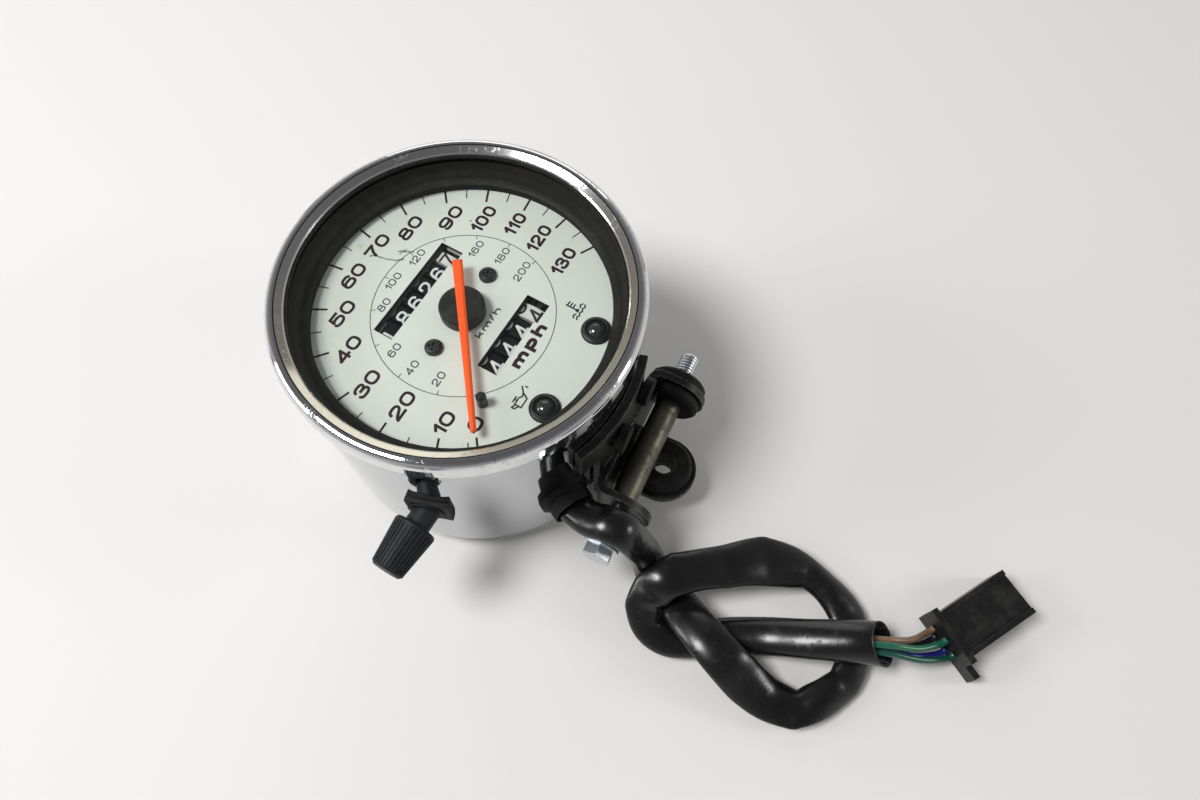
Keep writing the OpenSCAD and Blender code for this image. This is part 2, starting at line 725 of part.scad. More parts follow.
module drive_pawl() {
    color("#8a8a80") slice_x(pawl_x, pawl_x + pawl_t) translate([worm_c, worm_z])
        rotate(atan2(pawl_run.y, pawl_run.x)) difference() {
            union() {
                circle(r = pawl_out_r);
                polygon([[0, -2.4], [pawl_len - 3, -1.2], [pawl_len, -0.4], [pawl_len, 0.4],
                         [pawl_len - 3, 1.2], [0, 2.4]]);
            }
            circle(r = pawl_in_r);
        }
}

// Counter frame

// Slot in the counter frame's top over a row of drums, from its left edge to past the toothed rings
module slot_over(left, y) {
    half = sqrt(pow(drum_r + 0.5, 2) - pow(top_under - drum_z, 2)) + 0.4;
    translate([left - 0.5, y - half]) square([odo_right + 1 - left, 2 * half]);
}

function carry_y(side) = side > 0 ? odo_y + carry_reach : -trip_y - carry_reach;

module movement_top() {
    front = carry_y(-1) - 2.4;
    back = carry_y(1) + 2.4;
    side = cheek_x + cheek_t;
    color("#b4b4ac") difference() {
        union() {
            translate([0, 0, top_under]) linear_extrude(top_t) difference() {
                union() {
                    translate([-side, front]) square([2 * side, back - front]);
                    for (p = pillars) translate(p) circle(r = pillar_pad);
                    translate([-pillar_x, pillar_side_y - arm_w / 2]) square([2 * pillar_x, arm_w]);
                    translate([-pillar_pad, odo_y]) square([2 * pillar_pad, pillar_y - odo_y]);
                }
                slot_over(odo_mid - 3 * odo_pitch, odo_y);
                slot_over(trip_mid - 2 * trip_pitch, -trip_y);
                for (p = pillars) translate(p) circle(r = 1.3);
                circle(r = bush_collar_r + fit_gap);
            }
            for (x = [-side, cheek_x]) slice_x(x, x + cheek_t) {
                translate([front, drum_z - 6]) square([back - front, top_under - drum_z + 6.2]);
                if (x < 0) translate([-trip_y - 4.5, reset_z - 4.5]) square([9, drum_z - reset_z]);
            }
            for (x = [-1, 1]) translate([x * dial_screw_x, dial_screw_y, top_z - 0.2])
                cylinder(h = post_h + 0.2, r = post_r);
            rotate([0, 0, spring_turns * 360]) translate([stud_r + 0.7, 0, top_z - 0.2])
                cylinder(h = spring_z - top_z + 0.8, r = 0.5);
        }
        for (x = [-1, 1]) translate([x * dial_screw_x, dial_screw_y, top_under - 1])
            cylinder(h = post_h + top_t + 2, r = dial_screw_r + fit_gap);
        rod(-side - 1, side + 1, odo_y, drum_z, drum_shaft_d / 2 + fit_gap);
        rod(-side - 1, side + 1, -trip_y, drum_z, drum_shaft_d / 2 + run_gap);
        rod(-side - 1, 0, -trip_y, reset_z, reset_tip_r + run_gap);
        rod(0, side + 1, idler_y, idler_z, idler_r + fit_gap);
        for (end = [-1, 1]) rod(-side - 1, side + 1, carry_y(end), drum_z, carry_bar_r + fit_gap);
    }
}

module movement_pillars() {
    color("silver") for (p = pillars) translate([p.x, p.y, 0]) difference() {
        union() {
            tube(base_z, top_under, pillar_r, 0.01);
            translate([0, 0, panel_z + 0.5]) cylinder(h = base_t, r = 1.3 - fit_gap);
        }
        translate([0, 0, top_under - pillar_screw_len - 1])
            cylinder(h = pillar_screw_len + 2, r = pillar_screw_r + fit_gap);
    }
}

module pillar_screws() {
    color("#c8c8c0") for (p = pillars) translate([p.x, p.y, 0]) {
        translate([0, 0, top_under - pillar_screw_len])
            cylinder(h = pillar_screw_len + top_t, r = pillar_screw_r);
        translate([0, 0, top_z]) cylinder(h = pillar_head_h, r = pillar_head_r);
    }
}

module case_screws() {
    color("#c8c8c0") for (x = [-1, 1]) translate([x * case_screw_x, 0, 0]) difference() {
        union() {
            translate([0, 0, recess_h]) cylinder(h = cup_wall + base_t - 0.5, r = case_screw_r);
            translate([0, 0, recess_h - case_head_h]) cylinder(h = case_head_h, r = case_head_r);
        }
        for (a = [0, 90]) rotate([0, 0, a]) translate([-2, -0.45, recess_h - case_head_h - 0.4])
            cube([4, 0.9, 1.8]);
    }
}

// Counters

module odometer_shaft() {
    color("silver") rod(-cheek_x - cheek_t - 1, cheek_x + cheek_t + 1, odo_y, drum_z, drum_shaft_d / 2);
}

module odometer_drum(i) {
    w = odo_pitch - drum_space;
    color(i == 6 ? "white" : "#141414")
        counter_drum(odo_mid + (i - 3) * odo_pitch - drum_space / 2, w, odo_y, i == 6);
}

module trip_drum(i) {
    w = trip_pitch - drum_space;
    color(i == 4 ? "white" : "#141414")
        counter_drum(trip_mid + (i - 2) * trip_pitch - drum_space / 2, w, -trip_y, i == 4);
}

// Drum with its right face at x1 and a dished left face; a driven last drum has a toothed ring on its right,
// which reaches as far as the odometer's, so that one idler meets both
module counter_drum(x1, w, y, toothed) {
    bore_end = toothed ? odo_right : x1;
    difference() {
        union() {
            rod(x1 - w, toothed ? x1 - ring_t : x1, y, drum_z, drum_r);
            if (toothed) slice_x(x1 - ring_t - 0.1, odo_right) translate([y, drum_z])
                rotate(y > 0 ? odo_ring_turn : trip_ring_turn)
                    gear(ring_teeth, gear_m, tooth_out, tooth_in, tooth_slack);
        }
        difference() {
            rod(x1 - w - 1, x1 - w + 1, y, drum_z, drum_r - 1.6);
            rod(x1 - w - 2, x1 - w + 2, y, drum_z, drum_shaft_d / 2 + 1.5);
        }
        rod(x1 - w - 1, bore_end + 1, y, drum_z, drum_shaft_d / 2 + run_gap);
    }
}

module trip_shaft() {
    color("silver") {
        rod(reset_gear_x, cheek_x + cheek_t + 1, -trip_y, drum_z, drum_shaft_d / 2);
        slice_x(reset_gear_x, reset_gear_x + reset_gear_t - free_gap) translate([-trip_y, drum_z])
            rotate(90) gear(reset_teeth, reset_m, 0.6, 0.85, 1);
    }
}

module counter_idler() {
    color("goldenrod") difference() {
        slice_x(idler_left, odo_right) translate([idler_y, idler_z])
            rotate(idler_turn) gear(idler_teeth, gear_m, tooth_out, tooth_in, tooth_slack);
        rod(0, cheek_x, idler_y, idler_z, idler_r + run_gap);
    }
}

module idler_pin() {
    color("silver") {
        rod(idler_left - 2, cheek_x + cheek_t, idler_y, idler_z, idler_r);
        rod(idler_left - 1.4, idler_left - 0.2, idler_y, idler_z, idler_r + 1);
    }
}

// Fixed carry plates between neighbouring drums, hooked on a bar in front of or behind the drums
module carry_plate(x, y, side) {
    slice_x(x - carry_t / 2, x + carry_t / 2) difference() {
        union() {
            translate([y, drum_z]) circle(r = drum_r - 2);
            translate([min(y, y + side * carry_reach), drum_z - 1.8]) square([carry_reach, 3.6]);
            translate([y + side * carry_reach, drum_z]) circle(r = 1.9);
        }
        translate([y, drum_z]) circle(r = drum_shaft_d / 2 + 2);
        translate([y + side * carry_reach, drum_z]) circle(r = carry_bar_r + fit_gap);
    }
}

module carry_plates() {
    color("#c0b890") {
        for (i = [1:5]) carry_plate(odo_mid + (i - 3) * odo_pitch, odo_y, 1);
        for (i = [1:3]) carry_plate(trip_mid + (i - 2) * trip_pitch, -trip_y, -1);
    }
}

module carry_bars() {
    color("silver") for (side = [-1, 1])
        rod(-cheek_x - cheek_t, cheek_x + cheek_t, carry_y(side), drum_z, carry_bar_r);
}

// Trip reset

module reset_shaft() {
    inner_x = reset_gear_x + reset_gear_t;
    color("#20242a") {
        rod(knob_x - 6, reset_gear_x - 2, -trip_y, reset_z, reset_shaft_d / 2 - 1);
        rod(knob_x, -flank_x + 4, -trip_y, reset_z, reset_shaft_d / 2);
        rod(reset_gear_x - 2.1, -cheek_x, -trip_y, reset_z, reset_tip_r);
        slice_x(reset_gear_x, inner_x - free_gap) translate([-trip_y, reset_z])
            rotate(90 + 180 / reset_teeth) gear(reset_teeth, reset_m, 0.6, 0.85, 1);
    }
}

module reset_knob() {
    r0 = knob_d / 2;
    r1 = knob_tip_d / 2;
    bore_r = reset_shaft_d / 2 - 1 + fit_gap;
    groove = 0.35;
    color("#1e2226") translate([knob_x, -trip_y, reset_z]) rotate([0, -90, 0]) difference() {
        rotate_extrude() polygon([[0, 0], [r0 - 0.4, 0], [r0, 0.6], [r1, knob_len - 0.8],
                                  [r1 - 0.8, knob_len], [0, knob_len]]);
        translate([0, 0, -1]) cylinder(h = 7 + fit_gap, r = bore_r);
        for (i = [0:knob_ribs - 1]) rotate([0, 0, 360 * i / knob_ribs])
            translate([r0, 0, 1.2]) rotate([0, -atan2(r0 - r1, knob_len - 1.4), 0])
                translate([-groove, -0.28, 0]) cube([2, 0.56, knob_len * 1.2]);
    }
}

// Frame on the cup's flank where the reset shaft comes out, with -X square to the flank
module at_boot() {
    translate([-flank_x, -trip_y, reset_z]) rotate([0, 0, boot_turn]) children();
}

module reset_boot() {
    color("#191919") difference() {
        union() {
            difference() {
                at_boot() translate([-boot_pad_t, -boot_pad_w / 2, -boot_pad_h / 2])
                    cube([2 * boot_pad_t, boot_pad_w, boot_pad_h]);
                flank(0.05);
            }
            intersection() {
                rod(-cup_r - boot_pad_w, -flank_x + 3.4, -trip_y, reset_z, boot_sleeve_r);
                at_boot() translate([-boot_pad_t - boot_rim, -boot_pad_w, -boot_pad_h])
                    cube([cup_r, 2 * boot_pad_w, 2 * boot_pad_h]);
            }
        }
        rod(-cup_r - 9, 0, -trip_y, reset_z, reset_shaft_d / 2 + run_gap);
    }
}

// Bracket, in a frame turned about the gauge axis

module in_bracket() {
    rotate([0, 0, bracket_turn]) children();
}

// Sector of a ring about the gauge axis, with its angles to the left and right of 6 o'clock
module sector(z0, z1, r0, r1, left, right) {
    translate([0, 0, z0]) intersection() {
        tube(0, z1 - z0, r1, r0);
        linear_extrude(z1 - z0) polygon([[0, 0], 2 * r1 * [-sin(left), -cos(left)], 2 * r1 * [0, -1],
                                         2 * r1 * [sin(right), -cos(right)]]);
    }
}

module ear_shape() {
    translate([bolt_y, bolt_z]) circle(r = ear_r);
    translate([bolt_y, bolt_z - ear_r]) square([web_y - bolt_y, 2 * ear_r]);
}

// Plan of the yoke's inside or outside, from in front of the ears to back_y, with two round back corners
module yoke_block(half, front_y, back_y, r) {
    translate([-half, front_y]) square([2 * half, back_y - r - front_y]);
    translate([-half + r, front_y]) square([2 * (half - r), back_y - front_y]);
    for (x = [-1, 1]) translate([x * (half - r), back_y - r]) circle(r = r);
}

module bracket() {
    web_low = tab_z - plate_t;
    web_top = bolt_z + ear_r;
    front_y = bolt_y - ear_r - 1;
    color("#232323") in_bracket() difference() {
        union() {
            sector(web_low, saddle_top, saddle_r, saddle_r + plate_t, web_left, saddle_right);
            sector(saddle_top - plate_t, saddle_top, saddle_r, saddle_r + saddle_lip,
                   saddle_left, saddle_right);
            sector(saddle_top - saddle_h, saddle_top, saddle_r, saddle_r + plate_t,
                   saddle_left, saddle_right);
            intersection() {
                translate([0, 0, web_low]) linear_extrude(web_top - web_low) difference() {
                    yoke_block(ear_x, front_y, web_y, bend_r + plate_t);
                    yoke_block(ear_in, front_y - 1, web_front, bend_r);
                }
                slice_x(-ear_x - 1, ear_x + 1) {
                    ear_shape();
                    translate([web_front, web_low]) square([plate_t, web_top - web_low]);
                }
            }
            translate([0, 0, web_low]) linear_extrude(plate_t) {
                translate([0, tab_y]) circle(r = mount_d / 2 + tab_edge);
                translate([-mount_d / 2 - tab_edge, tab_y]) square([mount_d + 2 * tab_edge, web_y - tab_y]);
            }
        }
        flank(0.1);
        rod(-ear_x - 1, 0, bolt_y, bolt_z, bolt_hole_r);
        rod(ear_in - fit_gap, ear_x + 1, bolt_y, bolt_z, rubber_neck_r + fit_gap);
        translate([0, tab_y, web_low - 1]) cylinder(h = plate_t + 2, r = rubber_neck_r + fit_gap);
        for (x = [-1, 1]) translate([x * bracket_screw_x, 0, bracket_screw_z]) rotate([90, 0, 0])
            cylinder(h = saddle_r + saddle_lip, r = bracket_screw_r + fit_gap);
    }
}

module bracket_screws() {
    color("#3a3a3a") in_bracket() for (x = [-1, 1])
        translate([x * bracket_screw_x, 0, bracket_screw_z]) rotate([90, 0, 0]) {
            translate([0, 0, saddle_r - 6]) cylinder(h = 6 + plate_t, r = bracket_screw_r);
            translate([0, 0, saddle_r + plate_t]) cylinder(h = bracket_head_h, r = bracket_head_r);
        }
}

// Rubber mount with a flange on either side of a plate, around a bore, along +Z from its lower flange
module rubber_mount(bore_r) {
    r = mount_d / 2;
    rotate_extrude() polygon([
        [bore_r, 0], [r - 1, 0], [r, 1], [r, rubber_t - 0.5], [r - 0.5, rubber_t], [rubber_neck_r, rubber_t],
        [rubber_neck_r, rubber_t + plate_t], [r - 0.5, rubber_t + plate_t], [r, rubber_t + plate_t + 0.5],
        [r, 2 * rubber_t + plate_t - 1], [r - 1, 2 * rubber_t + plate_t], [bore_r, 2 * rubber_t + plate_t]]);
}

// The inner flange has a flat that clears the bracket's web
module ear_mount() {
    flat_y = web_front - bend_r - free_gap;
    color("#1a1a1a") in_bracket() difference() {
        translate([collar_end, bolt_y, bolt_z]) rotate([0, 90, 0]) rubber_mount(sleeve_r);
        translate([collar_end - 1, flat_y, bolt_z - mount_d]) cube([rubber_t + 1, mount_d, 2 * mount_d]);
    }
}

module collar_tube() {
    color("#6f6f63") in_bracket() difference() {
        rod(-ear_in, collar_end, bolt_y, bolt_z, collar_tube_d / 2);
        rod(-ear_in - 1, collar_end + 1, bolt_y, bolt_z, sleeve_r);
    }
}

module mounting_bolt() {
    color("#c9ccc6") in_bracket() {
        rod(head_x - 0.1, thread_x, bolt_y, bolt_z, bolt_d / 2);
        rod(thread_x - 0.1, bolt_tip_x - thread_cham, bolt_y, bolt_z, thread_r);
        translate([bolt_tip_x - thread_cham, bolt_y, bolt_z]) rotate([0, 90, 0])
            cylinder(h = thread_cham, r1 = thread_r, r2 = thread_r - thread_cham);
        rod(head_x - flange_t, head_x, bolt_y, bolt_z, head_af * 0.69);
        translate([head_x - flange_t - head_t, bolt_y, bolt_z]) rotate([0, 90, 0])
            cylinder(h = head_t + 0.1, d = head_af / cos(30), $fn = 6);
    }
}

module tab_mount() {
    color("#1a1a1a") in_bracket() translate([0, tab_y, tab_z - plate_t - rubber_t])
        rubber_mount(collar_tube_d / 2 + fit_gap);
}

module tab_collar() {
    color("#77776b") in_bracket() translate([0, tab_y, 0])
        tube(tab_z - plate_t - rubber_t - 0.5, tab_z + rubber_t + 0.5, collar_tube_d / 2, sleeve_r);
}

// Harness

module harness_grommet() {
    color("#161616") rotate([0, 0, outlet_turn]) {
        intersection() {
            difference() {
                flank(2);
                flank(0.05);
            }
            translate([0, 0, outlet_z]) rotate([90, 0, 0]) cylinder(h = outlet_r, r = outlet_pad_r);
        }
        translate([0, 0, outlet_z]) rotate([90, 0, 0]) difference() {
            translate([0, 0, cup_radius(outlet_z) - 3.5])
                cylinder(h = outlet_r - cup_radius(outlet_z) + 3.5, r = sheath_w / 2 + 1 - fit_gap);
            translate([0, 0, cup_radius(outlet_z) - 4]) cylinder(h = 3, r = sheath_w / 2 - 1);
            translate([0, 0, outlet_r - outlet_lip_h])
                cylinder(h = outlet_lip_h + 1, r = sheath_w / 2 + outlet_lip_room);
        }
    }
}

module harness_sheath() {
    color("#0e0e0e") swept(smooth(route, route_steps), sheath_w, sheath_t, sheath_sides);
}

// Wire between the sheath's mouth and its own hole in the connector
function plug_point(p) = [
    plug_at.x + p.x * cos(plug_turn) - p.y * sin(plug_turn),
    plug_at.y + p.x * sin(plug_turn) + p.y * cos(plug_turn), p.z];
function wire_path(row) = let (
    a = mouth + mouth_gap * mouth_dir + row.x * 1.6 * mouth_side + [0, 0, row.y * 0.95],
    hole = [-plug_flange_t - wire_gap, row.x * 1.9, plug_h / 2 + row.y * 1.1],
    away = plug_point(hole - [8, 0, row.y * 0.1]))
    [a, a + 3 * mouth_dir, 0.5 * (a + 5 * mouth_dir + away), away, plug_point(hole - [3, 0, 0]),
     plug_point(hole)];

wire_colours = ["saddlebrown", "seagreen", "darkgreen", "navy", "#202020"];
module harness_wires() {
    for (i = [0:4]) color(wire_colours[i])
        swept(smooth(wire_path(wire_rows[i]), 2), wire_d, wire_d, wire_sides);
}

module connector() {
    half = plug_w / 2;
    color("#161616") translate([plug_at.x, plug_at.y, 0]) rotate([0, 0, plug_turn]) difference() {
        union() {
            translate([-0.1, -half, 0]) cube([plug_len + 0.1, plug_w, plug_h]);
            translate([-plug_flange_t, -half - 1.6, 0]) cube([plug_flange_t, plug_w + 3.2, plug_h + 1.4]);
            translate([-plug_flange_t, -half - 6, 0]) cube([plug_flange_t, 5, plug_h - 4]);
            for (y = [-half, half - 1.6]) translate([0, y, plug_h - 0.1]) cube([plug_len, 1.6, 0.9]);
        }
        translate([plug_len - plug_depth, -half + plug_wall, plug_wall])
            cube([plug_depth + 1, plug_w - 2 * plug_wall, plug_h - 2 * plug_wall]);
    }
}

module connector_pins() {
    color("#b8a060") translate([plug_at.x, plug_at.y, 0]) rotate([0, 0, plug_turn])
        for (y = [-4, 0, 4], z = [plug_h / 2 - 2, plug_h / 2 + 2])
            translate([plug_len - plug_depth, y - 0.9, z - 0.35]) cube([pin_len, 1.8, 0.7]);
}

cup();
bezel();
bezel_seal();
glass();
dial_shroud();
dial_plate();
dial_screws();
stop_pin();
lamp_tubes();
lamp_lenses();
lamp_bulbs();
lamp_sockets();
pointer();
pointer_hub();
pointer_staff();
drag_cup();
staff_bush();
hairspring();
movement_base();
spindle_bush();
input_spindle();
drive_magnet();
worm_shaft();
drive_pawl();
movement_top();
movement_pillars();
pillar_screws();
case_screws();
odometer_shaft();
odometer_drum(1);  // odometer_drum_1
odometer_drum(2);  // odometer_drum_2
odometer_drum(3);  // odometer_drum_3
odometer_drum(4);  // odometer_drum_4
odometer_drum(5);  // odometer_drum_5
odometer_drum(6);  // odometer_drum_6
trip_shaft();
trip_drum(1);  // trip_drum_1
trip_drum(2);  // trip_drum_2
trip_drum(3);  // trip_drum_3
trip_drum(4);  // trip_drum_4
counter_idler();
idler_pin();
carry_plates();
carry_bars();
reset_shaft();
reset_knob();
reset_boot();
bracket();
bracket_screws();
ear_mount();
collar_tube();
mounting_bolt();
tab_mount();
tab_collar();
harness_grommet();
harness_sheath();
harness_wires();
connector();
connector_pins();
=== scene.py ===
from math import copysign, cos, exp, pi, radians, sin

import bmesh
import bpy
from mathutils import Matrix, Vector


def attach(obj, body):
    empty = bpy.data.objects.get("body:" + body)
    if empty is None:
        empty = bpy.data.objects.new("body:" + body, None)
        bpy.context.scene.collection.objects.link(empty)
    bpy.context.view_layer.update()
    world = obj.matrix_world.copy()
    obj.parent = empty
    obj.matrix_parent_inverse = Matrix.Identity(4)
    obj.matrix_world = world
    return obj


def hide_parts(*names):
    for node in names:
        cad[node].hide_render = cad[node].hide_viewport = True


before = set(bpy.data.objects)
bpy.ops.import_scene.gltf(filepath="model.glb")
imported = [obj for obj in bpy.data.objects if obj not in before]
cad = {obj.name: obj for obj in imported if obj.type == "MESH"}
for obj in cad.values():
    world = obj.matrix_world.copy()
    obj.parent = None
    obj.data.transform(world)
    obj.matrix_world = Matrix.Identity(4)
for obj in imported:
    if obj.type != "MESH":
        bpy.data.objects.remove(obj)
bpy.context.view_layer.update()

scene = bpy.context.scene
mm = 0.001
metre = 1000.0  # in mm, for patterns whose places are in mm
print("frame loaded:", len(cad), "nodes")


def addObject(name, data):
    thing = bpy.data.objects.new(name, data)
    scene.collection.objects.link(thing)
    return thing


# camera where the photograph was taken, for a picture of 1200 x 800
viewpoint = {
    "place": (-86.98, -92.90, 275.05),
    "right": (0.5017, -0.8650, 0.0055),
    "up": (0.7866, 0.4589, 0.4131),
    "lens": 26.1,
    "sensor": 36.0,
    "nearest": 0.01,
}


def standCamera(spec):
    lens = bpy.data.cameras.new("photoView")
    lens.sensor_width = spec["sensor"]
    lens.lens = spec["lens"]
    lens.clip_start = spec["nearest"]
    right = Vector(spec["right"]).normalized()
    back = right.cross(Vector(spec["up"])).normalized()
    turn = Matrix((right, back.cross(right), back)).transposed().to_4x4()
    camera = addObject("photoView", lens)
    camera.matrix_world = Matrix.Translation(Vector(spec["place"]) * mm) @ turn
    scene.camera = camera


standCamera(viewpoint)
print("camera stands")


# a method that adds one Math node
def byMaths(operation):
    def method(self, *others):
        return self.finish.add("Math", {"operation": operation}, dict(enumerate((self, *others))))
    return method


# one socket of a finish, so that shader maths reads as arithmetic
class Sock:
    __add__ = __radd__ = byMaths("ADD")
    __sub__ = byMaths("SUBTRACT")
    __mul__ = __rmul__ = byMaths("MULTIPLY")
    __truediv__ = byMaths("DIVIDE")
    __pow__ = byMaths("POWER")
    __abs__ = byMaths("ABSOLUTE")
    most = byMaths("MAXIMUM")
    least = byMaths("MINIMUM")

    def __init__(self, finish, socket):
        self.finish = finish
        self.socket = socket

    def __rsub__(self, other):
        return self.finish.add("Math", {"operation": "SUBTRACT"}, {0: other, 1: self})

    def out(self, name):
        return Sock(self.finish, self.socket.node.outputs[name])

    def above(self, edge, soft):
        settings = {"interpolation_type": "SMOOTHSTEP", "clamp": True}
        return self.finish.add("MapRange", settings, {0: self, 1: edge - soft, 2: edge + soft})


# a material under construction
class Finish:
    def __init__(self, name, world=None):
        self.material = world or bpy.data.materials.new(name)
        self.material.use_nodes = True
        self.tree = self.material.node_tree
        self.tree.nodes.clear()
        self.end = self.tree.nodes.new("ShaderNodeOutput" + ("World" if world else "Material"))
        self.coords = self.add("TexCoord").out("Generated" if world else "Object")

    def put(self, socket, value):
        if isinstance(value, Sock):
            self.tree.links.new(value.socket, socket)
        elif socket.type == "RGBA":
            socket.default_value = (*value, 1.0)
        else:
            socket.default_value = value

    def add(self, kind, settings=None, values=None):
        node = self.tree.nodes.new("ShaderNode" + kind)
        for key, value in (settings or {}).items():
            if key == "stops":
                ramp = node.color_ramp.elements
                while len(ramp) > 1:
                    ramp.remove(ramp[-1])
                for place, colour in value:
                    ramp.new(place).color = (*colour, 1.0)
                ramp.remove(ramp[0])
            else:
                setattr(node, key, value)
        for key, value in (values or {}).items():
            self.put(node.inputs[key], value)
        return Sock(self, node.outputs[0])

    def noise(self, scale, detail, rough, at=None):
        values = {"Vector": at or self.coords, "Scale": scale, "Detail": detail, "Roughness": rough}
        return self.add("TexNoise", {}, values)

    def stretched(self, size, turn=(0.0, 0.0, 0.0)):
        return self.add("Mapping", {}, {"Vector": self.coords, "Rotation": turn, "Scale": size})

    def mix(self, share, low, high):
        blend = self.add("Mix", {"data_type": "RGBA"}, {0: share, 6: low, 7: high})
        return Sock(self, blend.socket.node.outputs[2])

    def between(self, share, low, high):
        return low + share * (high - low)

    def axes(self, at=None):
        return self.add("SeparateXYZ", {}, {0: at or self.coords})

    def rounded(self, radius, samples=4):
        return self.add("Bevel", {"samples": samples}, {"Radius": radius})

    def normal(self):
        return self.add("NewGeometry").out("Normal")

    # 0 on flat ground, up to 1 on an edge sharper than the radius
    def edges(self, radius, low, high):
        both = {0: self.rounded(radius, 6), 1: self.normal()}
        along = self.add("VectorMath", {"operation": "DOT_PRODUCT"}, both).out("Value")
        return self.add("MapRange", {"clamp": True}, {0: 1 - along, 1: low, 2: high})

    # share of the surface that faces up, where dust lies; the dial paints shade where it is small
    def upward(self, edge=0.45, soft=0.4):
        return self.axes(self.normal()).out("Z").above(edge, soft)

    def bump(self, height, depth, strength, normal=None):
        values = {"Strength": strength, "Distance": depth, "Height": height}
        if normal:
            values["Normal"] = normal
        return self.add("Bump", {}, values)

    def surface(self, **values):
        words = {key.replace("_", " "): value for key, value in values.items()}
        return self.finishWith(self.add("BsdfPrincipled", {}, words))

    def finishWith(self, shader):
        self.tree.links.new(shader.socket, self.end.inputs["Surface"])
        return self.material


# length of a step in the plane, worked out on sockets
def stepLength(dx, dy):
    return (dx * dx + dy * dy) ** 0.5


# chrome: mirror plate with a breath of smear and hairline scratches; the bezel has nicks on its two worn
# sides, a painted dark reflection ring behind its crest and, on its inner slope at the left and below, a
# khaki painted reflection of the room
def chromeFinish(name, spec):
    f = Finish(name)
    smear = f.noise(90, 4, 0.6)
    axes = f.axes()
    x, y, z = axes.out("X"), axes.out("Y"), axes.out("Z")
    turn = f.add("Math", {"operation": "ARCTAN2"}, {0: y, 1: x})
    wrapped = f.add("CombineXYZ", {}, {0: turn * 0.05, 1: z * 6.0, 2: z})
    hair = f.noise(420, 2, 0.4, f.stretched((1.0, 1.0, 0.06), (0.5, 0.2, 0.3)))
    line = 1 - abs(hair - 0.5).above(0.012, 0.01)
    streak = f.noise(900, 2, 0.5, wrapped)
    scratch = line * f.noise(60, 2, 0.5).above(0.56, 0.08)
    side = (x * 18.0 - y * 4.0).above(spec["sideFrom"], 0.25)
    side = side.most((x * -16.0 - y * 8.0).above(spec["sideFrom"], 0.25) * 0.8)
    pits = f.noise(620, 3, 0.65).above(0.60, 0.04) * side * f.noise(70, 1, 0.5).above(0.47, 0.12)
    worn = pits * spec["nicks"]
    out = stepLength(x, y) * metre
    # the inner slope, which is rougher; at the left and below it also carries the khaki painted reflection of
    # the room
    inner = (1 - out.above(spec["innerTo"], 0.15)) * spec["agedAndReflection"]
    # painted reflection: a near-black ring on the chrome behind the crest, standing for the dark that the
    # rounded bezel mirrors there
    darkReflectionRing = (1 - abs(out - spec["innerTo"]).above(0.14, 0.1)) * spec["agedAndReflection"]
    tint = f.mix(smear, spec["tint"], spec["deep"])
    # painted reflection: the inner slope is tinted khaki at the left and below, and stays silver towards the
    # far side
    tint = f.mix(inner * (1 - (x + y).above(0.012, 0.035) * 0.85), tint, spec["reflectedKhaki"])
    tint = f.mix(darkReflectionRing, tint, (0.03, 0.028, 0.024))
    rough = spec["rough"] + smear * 0.03 + streak * spec["brush"] + scratch * 0.2 + worn * 0.25
    rough = rough + inner * 0.07
    height = scratch * -0.6 + worn * -1.4 + streak * 0.04
    return f.surface(
        Base_Color=f.mix(worn * 0.8, tint, (0.16, 0.155, 0.145)),
        Metallic=1.0,
        Roughness=rough.least(0.6),
        Normal=f.bump(height, 0.00003, spec["relief"]),
    )


cupLook = {"tint": (0.53, 0.54, 0.555), "deep": (0.46, 0.47, 0.485), "rough": 0.02, "brush": 0.01,
           "nicks": 0.0, "sideFrom": 0.4, "innerTo": 40.0, "agedAndReflection": 0.0, "reflectedKhaki": (0.5, 0.5, 0.5),
           "relief": 0.05}
# the bezel's value of 1.0 for its inner slope switches on its painted khaki reflection and its painted dark
# reflection ring; the cup has none
bezelLook = {"tint": (0.80, 0.805, 0.815), "deep": (0.70, 0.705, 0.715), "rough": 0.03, "brush": 0.02,
             "nicks": 0.5, "sideFrom": 0.5, "innerTo": 48.0, "agedAndReflection": 1.0, "reflectedKhaki": (0.50, 0.47, 0.385),
             "relief": 0.12}


# glass: clear, with the mirror share that the angle gives, the same from either side
def clearFinish(name, tint, rough, index):
    f = Finish(name)
    see = f.add("BsdfTransparent", {}, {0: tint})
    grease = f.noise(45, 4, 0.6).above(0.62, 0.12)
    shine = f.add("BsdfPrincipled", {}, {
        "Base Color": (0.9, 0.92, 0.92),
        "Metallic": 1.0,
        "Roughness": rough + grease * 0.04,
    })
    straight = ((index - 1) / (index + 1)) ** 2
    facing = f.add("LayerWeight", {}, {"Blend": 0.5}).out("Facing")
    share = straight + facing ** 5 * (1 - straight)
    return f.finishWith(f.add("MixShader", {}, {0: share, 1: see, 2: shine}))


# moulded rubber and plastic: grain in the bump, dust on top, lighter edges where hands rub
def mouldedFinish(name, colour, other, rough, dust, rub, shine=0.45, bare=(0.16, 0.16, 0.155),
                  depth=0.00002, edge=0.0004, soft=0.0003, blackFrom=None):
    f = Finish(name)
    cloud = f.noise(140, 4, 0.6)
    grain = f.noise(3200, 2, 0.6)
    dusty = f.upward() * f.noise(210, 5, 0.7).above(0.55, 0.14) * dust
    rubbed = f.edges(edge, 0.04, 0.4) * f.noise(700, 3, 0.6).above(0.5, 0.12) * rub
    body = f.mix(rubbed, f.mix(cloud, colour, other), bare)
    if blackFrom:
        body = f.mix((f.axes().out("X") * metre).above(blackFrom, 0.05), body, (0.012, 0.012, 0.013))
    return f.surface(
        Base_Color=f.mix(dusty, body, (0.20, 0.19, 0.17)),
        Roughness=(f.between(cloud, *rough) + dusty * 0.3).least(0.95),
        Specular_IOR_Level=shine,
        Normal=f.bump(grain, depth, 0.5, f.rounded(soft)),
    )


